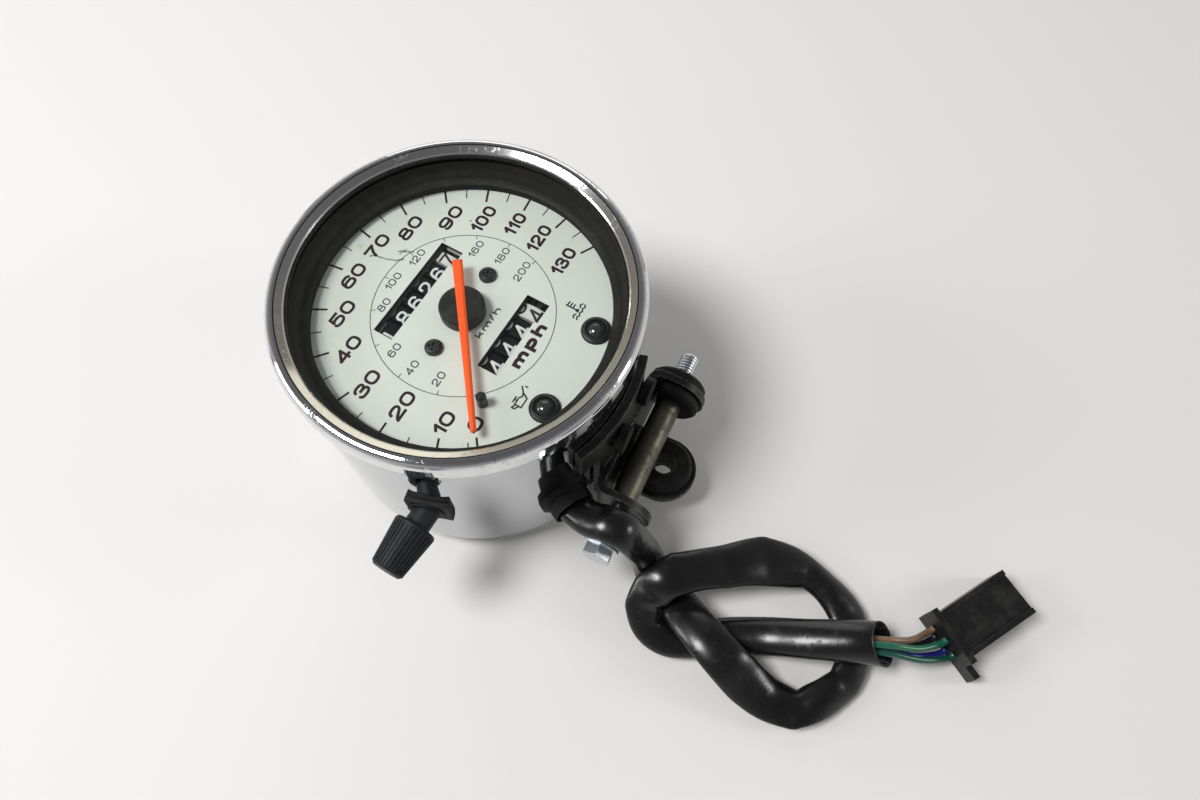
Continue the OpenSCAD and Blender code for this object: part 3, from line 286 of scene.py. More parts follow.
# black paint over steel, rubbed bright along bends and edges
def paintFinish(name, colour, other, metal, edge, wear):
    f = Finish(name)
    peel = f.noise(900, 2, 0.5)
    cloud = f.noise(110, 4, 0.6)
    chip = f.edges(edge, 0.02, 0.28) * f.noise(650, 4, 0.7).above(0.47, 0.08)
    speck = f.noise(1500, 2, 0.6).above(0.74, 0.02) * f.noise(120, 2, 0.5).above(0.55, 0.1)
    bare = chip.most(speck * 0.6) * wear
    dust = f.upward() * f.noise(260, 5, 0.7).above(0.56, 0.14) * 0.1
    paint = f.mix(dust, f.mix(cloud, colour, other), (0.16, 0.15, 0.135))
    return f.surface(
        Base_Color=f.mix(bare, paint, metal),
        Metallic=bare * 0.9,
        Roughness=f.between(cloud, 0.30, 0.48) + dust * 0.3 - bare * 0.05,
        Specular_IOR_Level=0.28,
        Normal=f.bump(peel, 0.00003, 0.35, f.rounded(0.0004)),
    )


# plated and turned metal: mottle in the colour, fine lathe lines, brighter edges, duller where stained
def platedFinish(name, colour, other, rough, mottle=420, stain=0.5, marks=0.3, edgeColour=(0.75, 0.75, 0.72)):
    f = Finish(name)
    mottled = f.noise(mottle, 5, 0.7)
    lathe = f.noise(1.0, 2, 0.5, f.stretched((5000.0, 160.0, 160.0)))
    stained = (mottled * 0.6 + f.noise(90, 3, 0.5) * 0.4).above(0.52, 0.09) * stain
    bright = f.edges(0.0004, 0.04, 0.35) * 0.5
    return f.surface(
        Base_Color=f.mix(bright, f.mix(stained, colour, other), edgeColour),
        Metallic=1.0,
        Roughness=(f.between(mottled, *rough) + lathe * 0.06 + stained * 0.1).least(0.9),
        Normal=f.bump(lathe + mottled * 0.5, 0.00003, marks, f.rounded(0.0003)),
    )


# dial enamel: aged off-white, with ragged scratches and a brown smudge by the 70, a black dot, and painted
# shade: faces that don't look up, the cut edges of the windows, are painted near black
dialLook = {
    "colour": (0.725, 0.755, 0.70),
    "agedAndReflection": (0.685, 0.715, 0.645),
    "smudge": ((3.4, 37.6), 1.9),
    "dot": ((26.7, 15.4), 0.30),
    "scratches": [
        [(2.0, 33.4), (2.8, 32.2), (3.6, 28.7), (4.6, 26.2), (5.9, 24.7)],
        [(7.4, 27.2), (8.0, 26.0), (8.7, 25.0), (9.3, 23.4)],
        [(6.8, 26.3), (9.2, 25.9)],
    ],
    "scratchWide": 0.22,
}


def dialFinish(name, spec):
    f = Finish(name)
    axes = f.axes()
    x, y = axes.out("X") * metre, axes.out("Y") * metre
    wobble = (f.noise(900, 3, 0.6) - 0.5) * 1.2
    broad = f.noise(35, 4, 0.55)
    fine = f.noise(2600, 2, 0.6)
    near = None
    for route in spec["scratches"]:
        for (ax, ay), (bx, by) in zip(route, route[1:]):
            dx, dy = bx - ax, by - ay
            span = dx * dx + dy * dy
            along = (((x - ax) * dx + (y - ay) * dy) / span).most(0.0).least(1.0)
            reach = stepLength(x - ax - along * dx + wobble, y - ay - along * dy + wobble)
            near = reach if near is None else near.least(reach)
    scratch = (1 - near.above(spec["scratchWide"], 0.12)) * f.noise(1300, 3, 0.6).above(0.38, 0.1)
    (sx, sy), wide = spec["smudge"]
    away = stepLength(x - sx, y - sy)
    smudge = (1 - away.above(wide * 0.6, wide * 0.5)) * f.noise(800, 4, 0.7).above(0.5, 0.1)
    drawn = f.stretched((1.0, 0.12, 1.0), (0, 0, 0.6))
    rub = f.noise(70, 2, 0.5).above(0.6, 0.08) * f.noise(500, 3, 0.6, drawn)
    specks = f.noise(1900, 1, 0.5).above(0.79, 0.015)
    body = f.mix(broad.above(0.5, 0.25), spec["colour"], spec["agedAndReflection"])
    body = f.mix(rub.above(0.5, 0.1) * 0.18, body, (0.52, 0.53, 0.46))
    body = f.mix(smudge * 0.55, body, (0.42, 0.36, 0.25))
    body = f.mix(specks * 0.6, body, (0.16, 0.13, 0.09))
    (px, py), wide = spec["dot"]
    dark = scratch.most(1 - stepLength(x - px, y - py).above(wide, 0.12)) * 0.9
    # painted shade: faces that don't look up, the walls of the windows, are painted near black
    body = f.mix(1 - f.upward(0.5, 0.1), body, (0.014, 0.014, 0.015))
    return f.surface(
        Base_Color=f.mix(dark, body, (0.035, 0.028, 0.022)),
        Roughness=f.between(broad, 0.42, 0.55),
        Normal=f.bump(fine * 0.3 - scratch, 0.00003, 0.4),
    )


# print ink, with a thin patchy edge
def inkFinish(name, colour, faded, soft=None):
    f = Finish(name)
    patch = f.noise(1700, 3, 0.6)
    return f.surface(
        Base_Color=f.mix(patch.above(0.55, 0.2), colour, faded),
        Roughness=f.between(patch, 0.42, 0.58),
        Specular_IOR_Level=0.25,
        Normal=f.bump(patch, 0.00001, 0.4, f.rounded(soft) if soft else None),
    )


# glossy soft vinyl: near black, dusty film, small scuffs that dull the shine
def vinylFinish(name, colour, other, dusty):
    f = Finish(name)
    film = f.noise(60, 5, 0.6)
    scuff = f.noise(380, 4, 0.7).above(0.6, 0.06) * f.noise(55, 2, 0.5).above(0.5, 0.1)
    lint = f.noise(1500, 2, 0.5).above(0.76, 0.02) * f.upward()
    ripple = f.noise(95, 3, 0.5)
    body = f.mix(film, colour, other)
    body = f.mix((scuff * 0.08 + lint * 0.3) * dusty, body, (0.16, 0.155, 0.15))
    return f.surface(
        Base_Color=body,
        Roughness=f.between(film, 0.17, 0.32) + scuff * 0.16,
        Specular_IOR_Level=0.5,
        Normal=f.bump(ripple + scuff * 0.1, 0.0006, 0.2),
    )


# each finish has its name, two colours that it clouds between and its range of roughness, then what differs
drumWhite = {"colour": (0.74, 0.73, 0.69), "other": (0.66, 0.65, 0.60), "rough": (0.4, 0.5), "dust": 0.1,
             "rub": 0.0}
finishes = {
    "chrome": chromeFinish("cupChrome", cupLook),
    "clear_glass": clearFinish("clearGlass", (0.985, 0.995, 0.99), 0.01, 1.45),
    "black_rubber": mouldedFinish(
        "mouldedRubber", (0.0060, 0.0060, 0.0060), (0.010, 0.0098, 0.0095), (0.5, 0.72), dust=0.07, rub=0.25,
        shine=0.18, bare=(0.04, 0.04, 0.038), depth=0.00004),
    "shroud_plastic": mouldedFinish(
        "shroudPlastic", (0.0095, 0.0085, 0.0070), (0.0140, 0.0122, 0.0100), (0.44, 0.56), dust=0.07, rub=0.0,
        shine=0.14),
    "dial_face": dialFinish("dialEnamel", dialLook),
    "black_hardware": mouldedFinish(
        "blackOxide", (0.0085, 0.0085, 0.009), (0.015, 0.015, 0.015), (0.3, 0.45), dust=0.08, rub=0.4,
        shine=0.3, bare=(0.12, 0.115, 0.11)),
    "lamp_plastic": mouldedFinish(
        "lampPlastic", (0.0085, 0.0085, 0.009), (0.015, 0.015, 0.015), (0.28, 0.42), dust=0.08, rub=0.25,
        shine=0.28),
    "pointer_orange": inkFinish("pointerPaint", (1.0, 0.105, 0.012), (0.97, 0.13, 0.022), 0.0002),
    "hub_plastic": mouldedFinish(
        "hubPlastic", (0.0115, 0.0107, 0.0096), (0.018, 0.0168, 0.0152), (0.4, 0.54), dust=0.1, rub=0.4,
        shine=0.25, bare=(0.07, 0.066, 0.06)),
    "bright_steel": platedFinish("turnedSteel", (0.62, 0.62, 0.60), (0.42, 0.41, 0.38), (0.2, 0.36)),
    "cast_alloy": platedFinish(
        "castAlloy", (0.58, 0.58, 0.56), (0.40, 0.40, 0.38), (0.42, 0.62), mottle=900, marks=0.6),
    "brass": platedFinish(
        "turnedBrass", (0.72, 0.50, 0.19), (0.46, 0.30, 0.11), (0.22, 0.4), edgeColour=(0.86, 0.68, 0.34)),
    "magnet": platedFinish(
        "groundMagnet", (0.10, 0.10, 0.11), (0.05, 0.048, 0.046), (0.4, 0.6), edgeColour=(0.25, 0.25, 0.25)),
    "drum_black": mouldedFinish(
        "drumBlack", (0.0036, 0.0038, 0.0052), (0.0062, 0.0065, 0.0082), (0.4, 0.52), dust=0.04, rub=0.05,
        shine=0.14),
    "drum_white": mouldedFinish("drumWhite", **drumWhite),
    "knob_plastic": mouldedFinish(
        "knobPlastic", (0.0068, 0.0093, 0.0122), (0.0105, 0.0143, 0.0185), (0.42, 0.58), dust=0.04, rub=0.5,
        shine=0.22, bare=(0.07, 0.083, 0.097), edge=0.0003, soft=0.0002),
    "bracket_paint": paintFinish(
        "wornBlackPaint", (0.0068, 0.0068, 0.0068), (0.0125, 0.0121, 0.0117), metal=(0.26, 0.25, 0.23),
        edge=0.0009, wear=0.75),
    "olive_zinc": platedFinish(
        "oliveZinc", (0.155, 0.15, 0.115), (0.065, 0.063, 0.049), (0.36, 0.54), mottle=520, stain=0.75,
        edgeColour=(0.36, 0.35, 0.29)),
    "bright_zinc": platedFinish(
        "brightZinc", (0.72, 0.76, 0.80), (0.44, 0.48, 0.53), (0.16, 0.34), mottle=700,
        edgeColour=(0.9, 0.93, 0.96)),
    "connector_plastic": mouldedFinish(
        "connectorPlastic", (0.0062, 0.0062, 0.0062), (0.0105, 0.0105, 0.0105), (0.3, 0.46), dust=0.07,
        rub=0.45, shine=0.28, bare=(0.06, 0.06, 0.058)),
}
lampGlass = mouldedFinish(
    "lampGlass", (0.017, 0.018, 0.018), (0.027, 0.028, 0.028), (0.06, 0.13), dust=0.05, rub=0.0, shine=0.9,
    depth=0.000005)
vinyl = vinylFinish("sleeveVinyl", (0.0040, 0.0040, 0.0044), (0.0075, 0.0075, 0.0078), 0.15)
hiddenBlack = mouldedFinish(
    "hiddenBlack", (0.0055, 0.0055, 0.0055), (0.009, 0.009, 0.009), (0.45, 0.6), dust=0.05, rub=0.1,
    shine=0.15)
# nodes whose finish isn't their slot's
special = {
    "bezel": chromeFinish("bezelChrome", bezelLook),
    "dial_screws": mouldedFinish(
        "screwBlack", (0.013, 0.0145, 0.0135), (0.024, 0.026, 0.024), (0.28, 0.42), dust=0.1, rub=0.3),
    "bracket_screws": hiddenBlack,
    "carry_plates": hiddenBlack,
    "tab_collar": platedFinish(
        "darkCollar", (0.05, 0.049, 0.042), (0.022, 0.021, 0.018), (0.4, 0.6),
        edgeColour=(0.12, 0.118, 0.10)),
    # the toothed ring beside the last drum's figures is black
    "odometer_drum_6": mouldedFinish("lastDrum", **drumWhite, blackFrom=14.55),
    "trip_drum_4": mouldedFinish("lastTripDrum", **drumWhite, blackFrom=12.3),
}
for name, node in cad.items():
    for index, old in enumerate(node.data.materials):
        slotName = old.name.split(".")[0]
        node.data.materials[index] = special.get(name) or finishes.get(slotName) or old
print("finishes laid on the nodes")


# tools that the pieces share
weld = 1e-7
toMetres = Matrix.Diagonal((mm, mm, mm, 1.0))


def meshFrom(bm, name):
    mesh = bpy.data.meshes.new(name)
    bm.to_mesh(mesh)
    bm.free()
    return mesh


def joinInto(target, source):
    mesh = meshFrom(source, "joining")
    target.from_mesh(mesh)
    bpy.data.meshes.remove(mesh)


def moveAll(bm, matrix):
    bmesh.ops.transform(bm, matrix=matrix, verts=bm.verts)


# spin and extrude leave the faces in an order that changes from run to run, so they are sorted by corners
def sortFaces(bm):
    bm.verts.index_update()
    count = len(bm.verts)

    def order(face):
        a, b, c = sorted(v.index for v in face.verts)[:3]
        return (a * count + b) * count + c

    bm.faces.sort(key=order)


# crisp is the angle in degrees from which an edge stays sharp
def makePiece(name, bm, finish, stands=(), crisp=30, body="case"):
    bmesh.ops.recalc_face_normals(bm, faces=bm.faces)
    sortFaces(bm)
    mesh = meshFrom(bm, name)
    mesh.materials.append(finish)
    mesh.shade_smooth()
    mesh.set_sharp_from_angle(angle=radians(crisp))
    piece = addObject(name, mesh)
    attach(piece, body)
    if stands:
        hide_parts(*stands)
    return piece


# a closed section of radius and height in mm, spun round an upright axis
def spinRound(section, steps, at=(0.0, 0.0)):
    bm = bmesh.new()
    verts = [bm.verts.new(Vector((r, 0, z)) * mm) for r, z in section]
    edges = [bm.edges.new((verts[i - 1], verts[i])) for i in range(len(verts))]
    bmesh.ops.spin(bm, geom=verts + edges, cent=(0, 0, 0), axis=(0, 0, 1), angle=2 * pi, steps=steps,
                   use_merge=True)
    bmesh.ops.remove_doubles(bm, verts=bm.verts, dist=weld)
    bmesh.ops.dissolve_degenerate(bm, dist=weld, edges=bm.edges)
    bmesh.ops.translate(bm, verts=bm.verts, vec=Vector((*at, 0)) * mm)
    return bm


def onlyVerts(geom):
    return [g for g in geom if isinstance(g, bmesh.types.BMVert)]


# a flat outline in mm, pushed out along a step in mm
def pushOut(corners, along):
    bm = bmesh.new()
    face = bm.faces.new([bm.verts.new(Vector(corner) * mm) for corner in corners])
    far = onlyVerts(bmesh.ops.extrude_face_region(bm, geom=[face])["geom"])
    bmesh.ops.translate(bm, verts=far, vec=Vector(along) * mm)
    return bm


# value between route points, on the smooth curve that the solid's route uses
def onCurve(rows, count):
    found = []
    padded = [rows[0]] + rows + [rows[-1]]
    for i in range(len(rows) - 1):
        a, b, c, d = (Vector(row) for row in padded[i:i + 4])
        for k in range(count):
            t = k / count
            found.append(0.5 * (2 * b + (c - a) * t + (2 * a - 5 * b + 4 * c - d) * t ** 2
                                + (3 * b - a - 3 * c + d) * t ** 3))
    found.append(Vector(rows[-1]))
    return found


def anglesRound(count):
    return [2 * pi * k / count for k in range(count)]


# a power that keeps the sign, which squares off a circle
def signedPower(value, power):
    return copysign(abs(value) ** power, value)


# the directions ahead, to the flank and up at one point of a path
def waysAt(path, i):
    ahead = (path[min(i + 1, len(path) - 1)] - path[max(i - 1, 0)]).normalized()
    flank = Vector((0, 0, 1)).cross(ahead).normalized()
    return ahead, flank, ahead.cross(flank)


# a tube grown ring by ring with extrude, from the points of each ring
def growTube(rings):
    bm = bmesh.new()
    ring = bmesh.ops.create_circle(bm, cap_ends=True, segments=len(rings[0]), radius=1.0)["verts"]
    edges = bm.edges[:]
    for step, points in enumerate(rings):
        if step:
            grown = bmesh.ops.extrude_edge_only(bm, edges=edges)["geom"]
            ring = onlyVerts(grown)
            fresh = set(ring)
            edges = [g for g in grown if isinstance(g, bmesh.types.BMEdge) and set(g.verts) <= fresh]
        for v, point in zip(ring, points):
            v.co = point
    bmesh.ops.contextual_create(bm, geom=edges)
    return bm


# harness sleeve: x, y, z of its route, then width, thickness, roll in degrees and fold at the edges
sleeve = {
    "route": [
        (-23.74, -48.68, 30, 10.4, 6.9, 0, 0),
        (-24.9, -55, 31.8, 10.8, 6.9, 0, 0.1),
        (-24.2, -61, 33.8, 11, 6.8, 0, 0.15),
        (-23.2, -67, 31.5, 11.2, 6.8, 0, 0.2),
        (-22.2, -72.2, 18, 10.8, 6.8, 0, 0.2),
        (-23.4, -76.2, 9, 11.2, 6.6, 0, 0.2),
        (-25.9, -80.9, 5.8, 12, 6.2, 0, 0.2),
        (-28.8, -88.4, 7.2, 12.4, 6, 0, 0.2),
        (-32, -95.2, 10.2, 12.6, 5.8, 0, 0.25),
        (-34.7, -101.8, 11.8, 12.8, 5.6, 0, 0.25),
        (-37.2, -109, 11.2, 13, 5.6, 4, 0.25),
        (-38.8, -116.8, 7.4, 13.2, 5.5, 8, 0.3),
        (-38.8, -125.4, 4.3, 12.6, 5.6, 0, 0.4),
        (-35.7, -133.4, 4.2, 11.4, 5.8, -8, 0.5),
        (-28.5, -139.2, 4.4, 10.8, 6.2, 16, 0.45),
        (-18.9, -141.7, 4.4, 10.6, 6.4, 18, 0.25),
        (-10.4, -139, 4.4, 11, 6.2, 14, 0.25),
        (-3.6, -132.5, 4.6, 11, 6.2, 10, 0.3),
        (-0.2, -123.1, 5.6, 9.8, 6.8, 4, 0.3),
        (-1, -113.2, 8, 13.4, 5.4, 0, 0.45),
        (-5.6, -103.7, 11, 14.4, 5.2, 0, 0.3),
        (-12.8, -94.9, 13.6, 12.8, 5.6, 0, 0.2),
        (-19.9, -86.9, 15.4, 12.2, 5.8, -6, 0.2),
        (-26.8, -81.2, 15.4, 12, 5.8, -10, 0.35),
        (-33.3, -79.8, 11.5, 11.2, 6, -8, 0.4),
        (-38, -83.1, 6.4, 10.6, 6.2, 0, 0.25),
        (-38.6, -89.7, 4.2, 10.8, 6.4, 0, 0.2),
        (-34.8, -97.4, 3.8, 11, 6.5, 0, 0.15),
        (-28.8, -105.4, 3.8, 11.2, 6.6, 0, 0.1),
        (-23.1, -115.7, 5.2, 11.4, 7.2, 0, 0.05),
        (-18.6, -126.5, 9.6, 11.8, 8.2, 0, 0),
        (-13.5, -137.5, 12.6, 12.4, 9.8, 0, 0),
        (-9.5, -146, 12.4, 13.2, 11.6, 0, 0),
    ],
    "perSpan": 8,
    "sides": 40,
    # place on the route, side that stands out, how far, share of the thickness lost, length in route points
    "kinks": [
        (3.4, -1, 0.5, 0.15, 0.5), (6.2, 1, 0.6, 0.15, 0.5), (10.6, 1, 0.4, 0.10, 0.7),
        (12.7, -1, 1.2, 0.30, 0.35), (12.95, 1, -1.5, 0.30, 0.30), (14.5, 1, -0.9, 0.30, 0.30),
        (14.6, -1, 0.8, 0.28, 0.35), (16.7, -1, 0.6, 0.20, 0.40), (18.45, 1, -1.1, 0.24, 0.35),
        (19.8, -1, 1.3, 0.25, 0.40), (21.0, 1, 0.4, 0.15, 0.40), (22.4, -1, 0.9, 0.20, 0.35),
        (23.5, -1, 0.6, 0.30, 0.35), (24.2, -1, 0.9, 0.35, 0.30), (24.3, 1, -1.1, 0.30, 0.30),
    ],
    # power that squares the section off, the ratio of width to thickness where it starts, and its fade
    "flat": 0.72,
    "flatFrom": 1.1,
    "flatOver": 0.6,
    # share of a kink's sinking that the edges are spared
    "spared": 0.5,
    "wall": 0.8,
    "openDepth": 14,
    # the mouth is cut aslant, so that its opening looks up
    "slant": 5.2,
    "length": 0.2975,
    "diameter": 0.011,
}


def makeSleeve(spec):
    rows = onCurve(spec["route"], spec["perSpan"])
    path = [Vector(row[:3]) * mm for row in rows]
    end = len(path) - 1

    # the ring at one place of the path, set in by the wall
    def ringAt(i, wall):
        wide, thick, roll, fold = rows[i][3:]
        cut = spec["slant"] * max(0.0, 1 - (end - i) / spec["openDepth"]) / (thick / 2)
        wide, thick = wide - 2 * wall, thick - 2 * wall
        turn = radians(roll)
        stands, sunk = {-1: 0.0, 1: 0.0}, 0.0
        for place, edge, reach, loss, span in spec["kinks"]:
            near = exp(-abs(i / spec["perSpan"] - place) / span)
            stands[edge] += reach * near
            sunk = max(sunk, loss * near)
        # a round mouth has no flat top
        square = min(1.0, max(0.0, (wide / thick - spec["flatFrom"]) / spec["flatOver"]))
        flat = 1 - (1 - spec["flat"]) * square
        ahead, flank, lift = waysAt(path, i)
        points = []
        for a in anglesRound(spec["sides"]):
            edge = 1 if cos(a) > 0 else -1
            across = wide / 2 * cos(a) + edge * stands[edge] * cos(a) ** 2
            up = thick / 2 * signedPower(sin(a), flat) * (1 - fold * cos(a) ** 2)
            up *= 1 - sunk * (1 - spec["spared"] * cos(a) ** 2)
            aside = (across * cos(turn) - up * sin(turn)) * mm
            high = (across * sin(turn) + up * cos(turn)) * mm
            points.append(path[i] + flank * aside + lift * high - ahead * (cut * high))
        return points

    outside = [ringAt(i, 0.0) for i in range(end + 1)]
    inside = [ringAt(i, spec["wall"]) for i in range(end, end - spec["openDepth"], -1)]
    bm = growTube(outside + inside)
    piece = makePiece("harness_sleeve", bm, vinyl, ["harness_sheath"], crisp=60)
    return piece, path


sleevePiece, sleevePath = makeSleeve(sleeve)
print("sleeve laid")

# five wires from the sleeve's mouth to the plug; row gives each one's place across and up
plugFrame = {"at": (4.5, -164.0), "turn": -28.6}
wires = {
    "thick": 2.0,
    "sides": 16,
    "perSpan": 6,
    "rows": [(2.4, 0.0), (0.0, 2.2), (-2.4, 0.0), (-1.2, -2.6), (1.2, -2.6)],
    # share of the rows' spread in the mouth, how far the bundle leans, and its points along the sleeve
    "spread": 0.82,
    "lean": -0.6,
    "along": (-9.0, -3.0, 2.0),
    # the plug's holes: depth and level, the rows' spread and the straight run before them
    "hole": (-2.15, 5.25),
    "holeSpread": (1.9, 1.1),
    "holeRun": 2.4,
    # the middle lies half way between points this far from the mouth and from the hole
    "midRun": 6.0,
    "dusty": 0.6,
    "colours": [
        ("wireTan", (0.17, 0.098, 0.058), (0.25, 0.155, 0.095)),
        ("wireGreen", (0.010, 0.105, 0.055), (0.02, 0.16, 0.085)),
        ("wireDarkGreen", (0.008, 0.062, 0.045), (0.012, 0.095, 0.066)),
        ("wireBlue", (0.016, 0.022, 0.20), (0.03, 0.04, 0.30)),
        ("wireBlack", (0.010, 0.010, 0.014), (0.02, 0.02, 0.028)),
    ],
}


def inPlug(point):
    return Matrix.Rotation(radians(plugFrame["turn"]), 3, "Z") @ Vector(point) + Vector((*plugFrame["at"], 0))


def makeWires(spec):
    mouth = Vector(sleeve["route"][-1][:3])
    toward = (mouth - Vector(sleeve["route"][-2][:3])).normalized()
    side = Vector((0, 0, 1)).cross(toward).normalized()
    depth, level = spec["hole"]
    holeAcross, holeUp = spec["holeSpread"]
    r = spec["thick"] / 2 * mm
    angles = anglesRound(spec["sides"])
    made = []
    for (across, up), (name, colour, other) in zip(spec["rows"], spec["colours"]):
        start = mouth + side * (across * spec["spread"] + spec["lean"]) + Vector((0, 0, up * spec["spread"]))
        hole = Vector((depth, across * holeAcross, level + up * holeUp))
        middle = (start + toward * spec["midRun"] + inPlug(hole - Vector((spec["midRun"], 0, 0)))) / 2
        route = [start + toward * run for run in spec["along"]]
        route += [middle, inPlug(hole - Vector((spec["holeRun"], 0, 0))), inPlug(hole)]
        path = [point * mm for point in onCurve(route, spec["perSpan"])]
        rings = []
        for i, point in enumerate(path):
            _, flank, lift = waysAt(path, i)
            rings.append([point + flank * (r * cos(a)) + lift * (r * sin(a)) for a in angles])
        finish = vinylFinish(name, colour, other, spec["dusty"])
        stands = () if made else ["harness_wires"]
        made.append(makePiece(name, growTube(rings), finish, stands, crisp=60))
    return made


wirePieces = makeWires(wires)


# a corner sharper than this is cut, and a pen line runs on by this share of its width
sharpFrom = 0.7
runOn = 0.4
penRound = 2
penWeld = 0.0005
# level of the dial's face, and thickness of the print on it
dialTop = 65.0
inkDeep = 0.08


# a straight printed line, from one radius to another at a clock angle
def printTick(target, clock, inner, outer, wide):
    bm = bmesh.new()
    bmesh.ops.create_cube(bm, size=1.0)
    size = Matrix.Diagonal((wide, outer - inner, inkDeep, 1.0))
    place = Matrix.Translation((0, (inner + outer) / 2, dialTop))
    moveAll(bm, toMetres @ Matrix.Rotation(-radians(clock), 4, "Z") @ place @ size)
    joinInto(target, bm)


# a thin printed ring, spun from its section
def printRing(target, radius, wide, steps):
    low, high = dialTop - inkDeep / 2, dialTop + inkDeep / 2
    inner, outer = radius - wide / 2, radius + wide / 2
    joinInto(target, spinRound([(inner, low), (outer, low), (outer, high), (inner, high)], steps))


# a line cut at its sharp corners, with every end run on a little, so that the pen keeps its width there
def sharpRuns(points, reach):
    points = [Vector(point) for point in points]
    runs = [[points[0]]]
    for before, at, after in zip(points, points[1:], points[2:]):
        runs[-1].append(at)
        if (at - before).angle(after - at, 0.0) > sharpFrom:
            runs.append([at])
    runs[-1].append(points[-1])
    for run in runs:
        first, last = (run[0] - run[1]).normalized(), (run[-1] - run[-2]).normalized()
        run[0] = run[0] + first * reach
        run[-1] = run[-1] + last * reach
    return runs


# pen lines as a mesh, as thick as they are wide; a smooth line that comes back to its start is closed
def penMesh(lines, wide):
    pen = bpy.data.curves.new("penLine", "CURVE")
    pen.dimensions = "3D"
    pen.bevel_depth = wide / 2
    pen.bevel_resolution = penRound
    pen.use_fill_caps = True
    for points in lines:
        runs = sharpRuns(points, wide * runOn)
        closed = len(runs) == 1 and points[0] == points[-1]
        for run in [points[:-1]] if closed else runs:
            line = pen.splines.new("POLY")
            line.points.add(len(run) - 1)
            line.use_cyclic_u = closed
            for spot, (x, y) in zip(line.points, run):
                spot.co = (x, y, 0, 1)
    holder = addObject("drawing", pen)
    bpy.context.view_layer.update()
    graph = bpy.context.evaluated_depsgraph_get()
    mesh = bpy.data.meshes.new_from_object(holder.evaluated_get(graph))
    bpy.data.objects.remove(holder)
    bm = bmesh.new()
    bm.from_mesh(mesh)
    bpy.data.meshes.remove(mesh)
    bmesh.ops.remove_doubles(bm, verts=bm.verts, dist=penWeld)
    return bm


def printLines(target, lines, wide):
    bm = penMesh(lines, wide)
    place = Matrix.Translation((0, 0, dialTop))
    moveAll(bm, toMetres @ place @ Matrix.Diagonal((1.0, 1.0, inkDeep / wide, 1.0)))
    joinInto(target, bm)


# wide square-shouldered figures as pen strokes, one unit tall: straight lines, bends and closed loops
strokes = {
    "0": [("loop", [0.46, 0.5, 0.46, 0.5])],
    "1": [("line", [(0, 0.70), (0.36, 1), (0.36, 0)])],
    "2": [("bend", [(0.02, 0.72), (0.08, 0.90), (0.26, 0.99), (0.60, 0.99), (0.80, 0.90), (0.86, 0.72),
                    (0.76, 0.53), (0.46, 0.36), (0.14, 0.20), (0, 0)]), ("line", [(0, 0), (0.90, 0)])],
    "3": [("bend", [(0.03, 0.78), (0.12, 0.93), (0.34, 1), (0.62, 0.98), (0.82, 0.88), (0.83, 0.68),
                    (0.70, 0.56), (0.36, 0.53)]),
          ("bend", [(0.36, 0.53), (0.74, 0.49), (0.90, 0.32), (0.86, 0.12), (0.66, 0.01), (0.34, 0),
                    (0.09, 0.07), (0, 0.25)])],
    "4": [("line", [(0.68, 0), (0.68, 1), (0, 0.26), (0.94, 0.26)])],
    "5": [("line", [(0.84, 1), (0.13, 1), (0.07, 0.50)]),
          ("bend", [(0.07, 0.50), (0.24, 0.61), (0.54, 0.63), (0.82, 0.54), (0.91, 0.33), (0.82, 0.10),
                    (0.56, 0), (0.30, 0), (0.07, 0.08), (0, 0.24)])],
    "6": [("loop", [0.45, 0.30, 0.45, 0.30]),
          ("bend", [(0.86, 0.82), (0.76, 0.96), (0.48, 1), (0.20, 0.94), (0.04, 0.72), (0, 0.32)])],
    "7": [("line", [(0, 1), (0.88, 1)]), ("bend", [(0.88, 1), (0.62, 0.68), (0.42, 0.34), (0.34, 0)])],
    "8": [("loop", [0.45, 0.76, 0.38, 0.24]), ("loop", [0.45, 0.27, 0.45, 0.27])],
    "9": [("loop", [0.45, 0.70, 0.45, 0.30]),
          ("bend", [(0.04, 0.18), (0.14, 0.04), (0.42, 0), (0.70, 0.06), (0.86, 0.28), (0.90, 0.68)])],
    "h": [("line", [(0, 0), (0, 1.24)]),
          ("bend", [(0, 0.48), (0.12, 0.66), (0.36, 0.72), (0.58, 0.64), (0.64, 0.46), (0.64, 0)])],
    "k": [("line", [(0, 0), (0, 1.24)]), ("line", [(0.54, 0.72), (0, 0.26)]),
          ("line", [(0.20, 0.44), (0.58, 0)])],
    "m": [("line", [(0, 0), (0, 0.72)]),
          ("bend", [(0, 0.48), (0.10, 0.66), (0.30, 0.72), (0.48, 0.64), (0.53, 0.46), (0.53, 0)]),
          ("bend", [(0.53, 0.48), (0.63, 0.66), (0.83, 0.72), (1.01, 0.64), (1.06, 0.46), (1.06, 0)])],
    "p": [("line", [(0, 0.72), (0, -0.46)]), ("loop", [0.34, 0.36, 0.34, 0.36])],
    "/": [("line", [(0, -0.04), (0.34, 1.26)])],
    "bar": [("line", [(0, 0), (0, 1)])],
}
loopSteps = 28
bendSteps = 5
squareness = 2.6


def strokePoints(kind, points):
    if kind == "line":
        return points
    if kind == "bend":
        return [tuple(p) for p in onCurve(points, bendSteps)]
    cx, cy, rx, ry = points
    power = 2 / squareness
    ring = [(cx + rx * signedPower(cos(a), power), cy + ry * signedPower(sin(a), power))
            for a in anglesRound(loopSteps)]
    return ring + ring[:1]


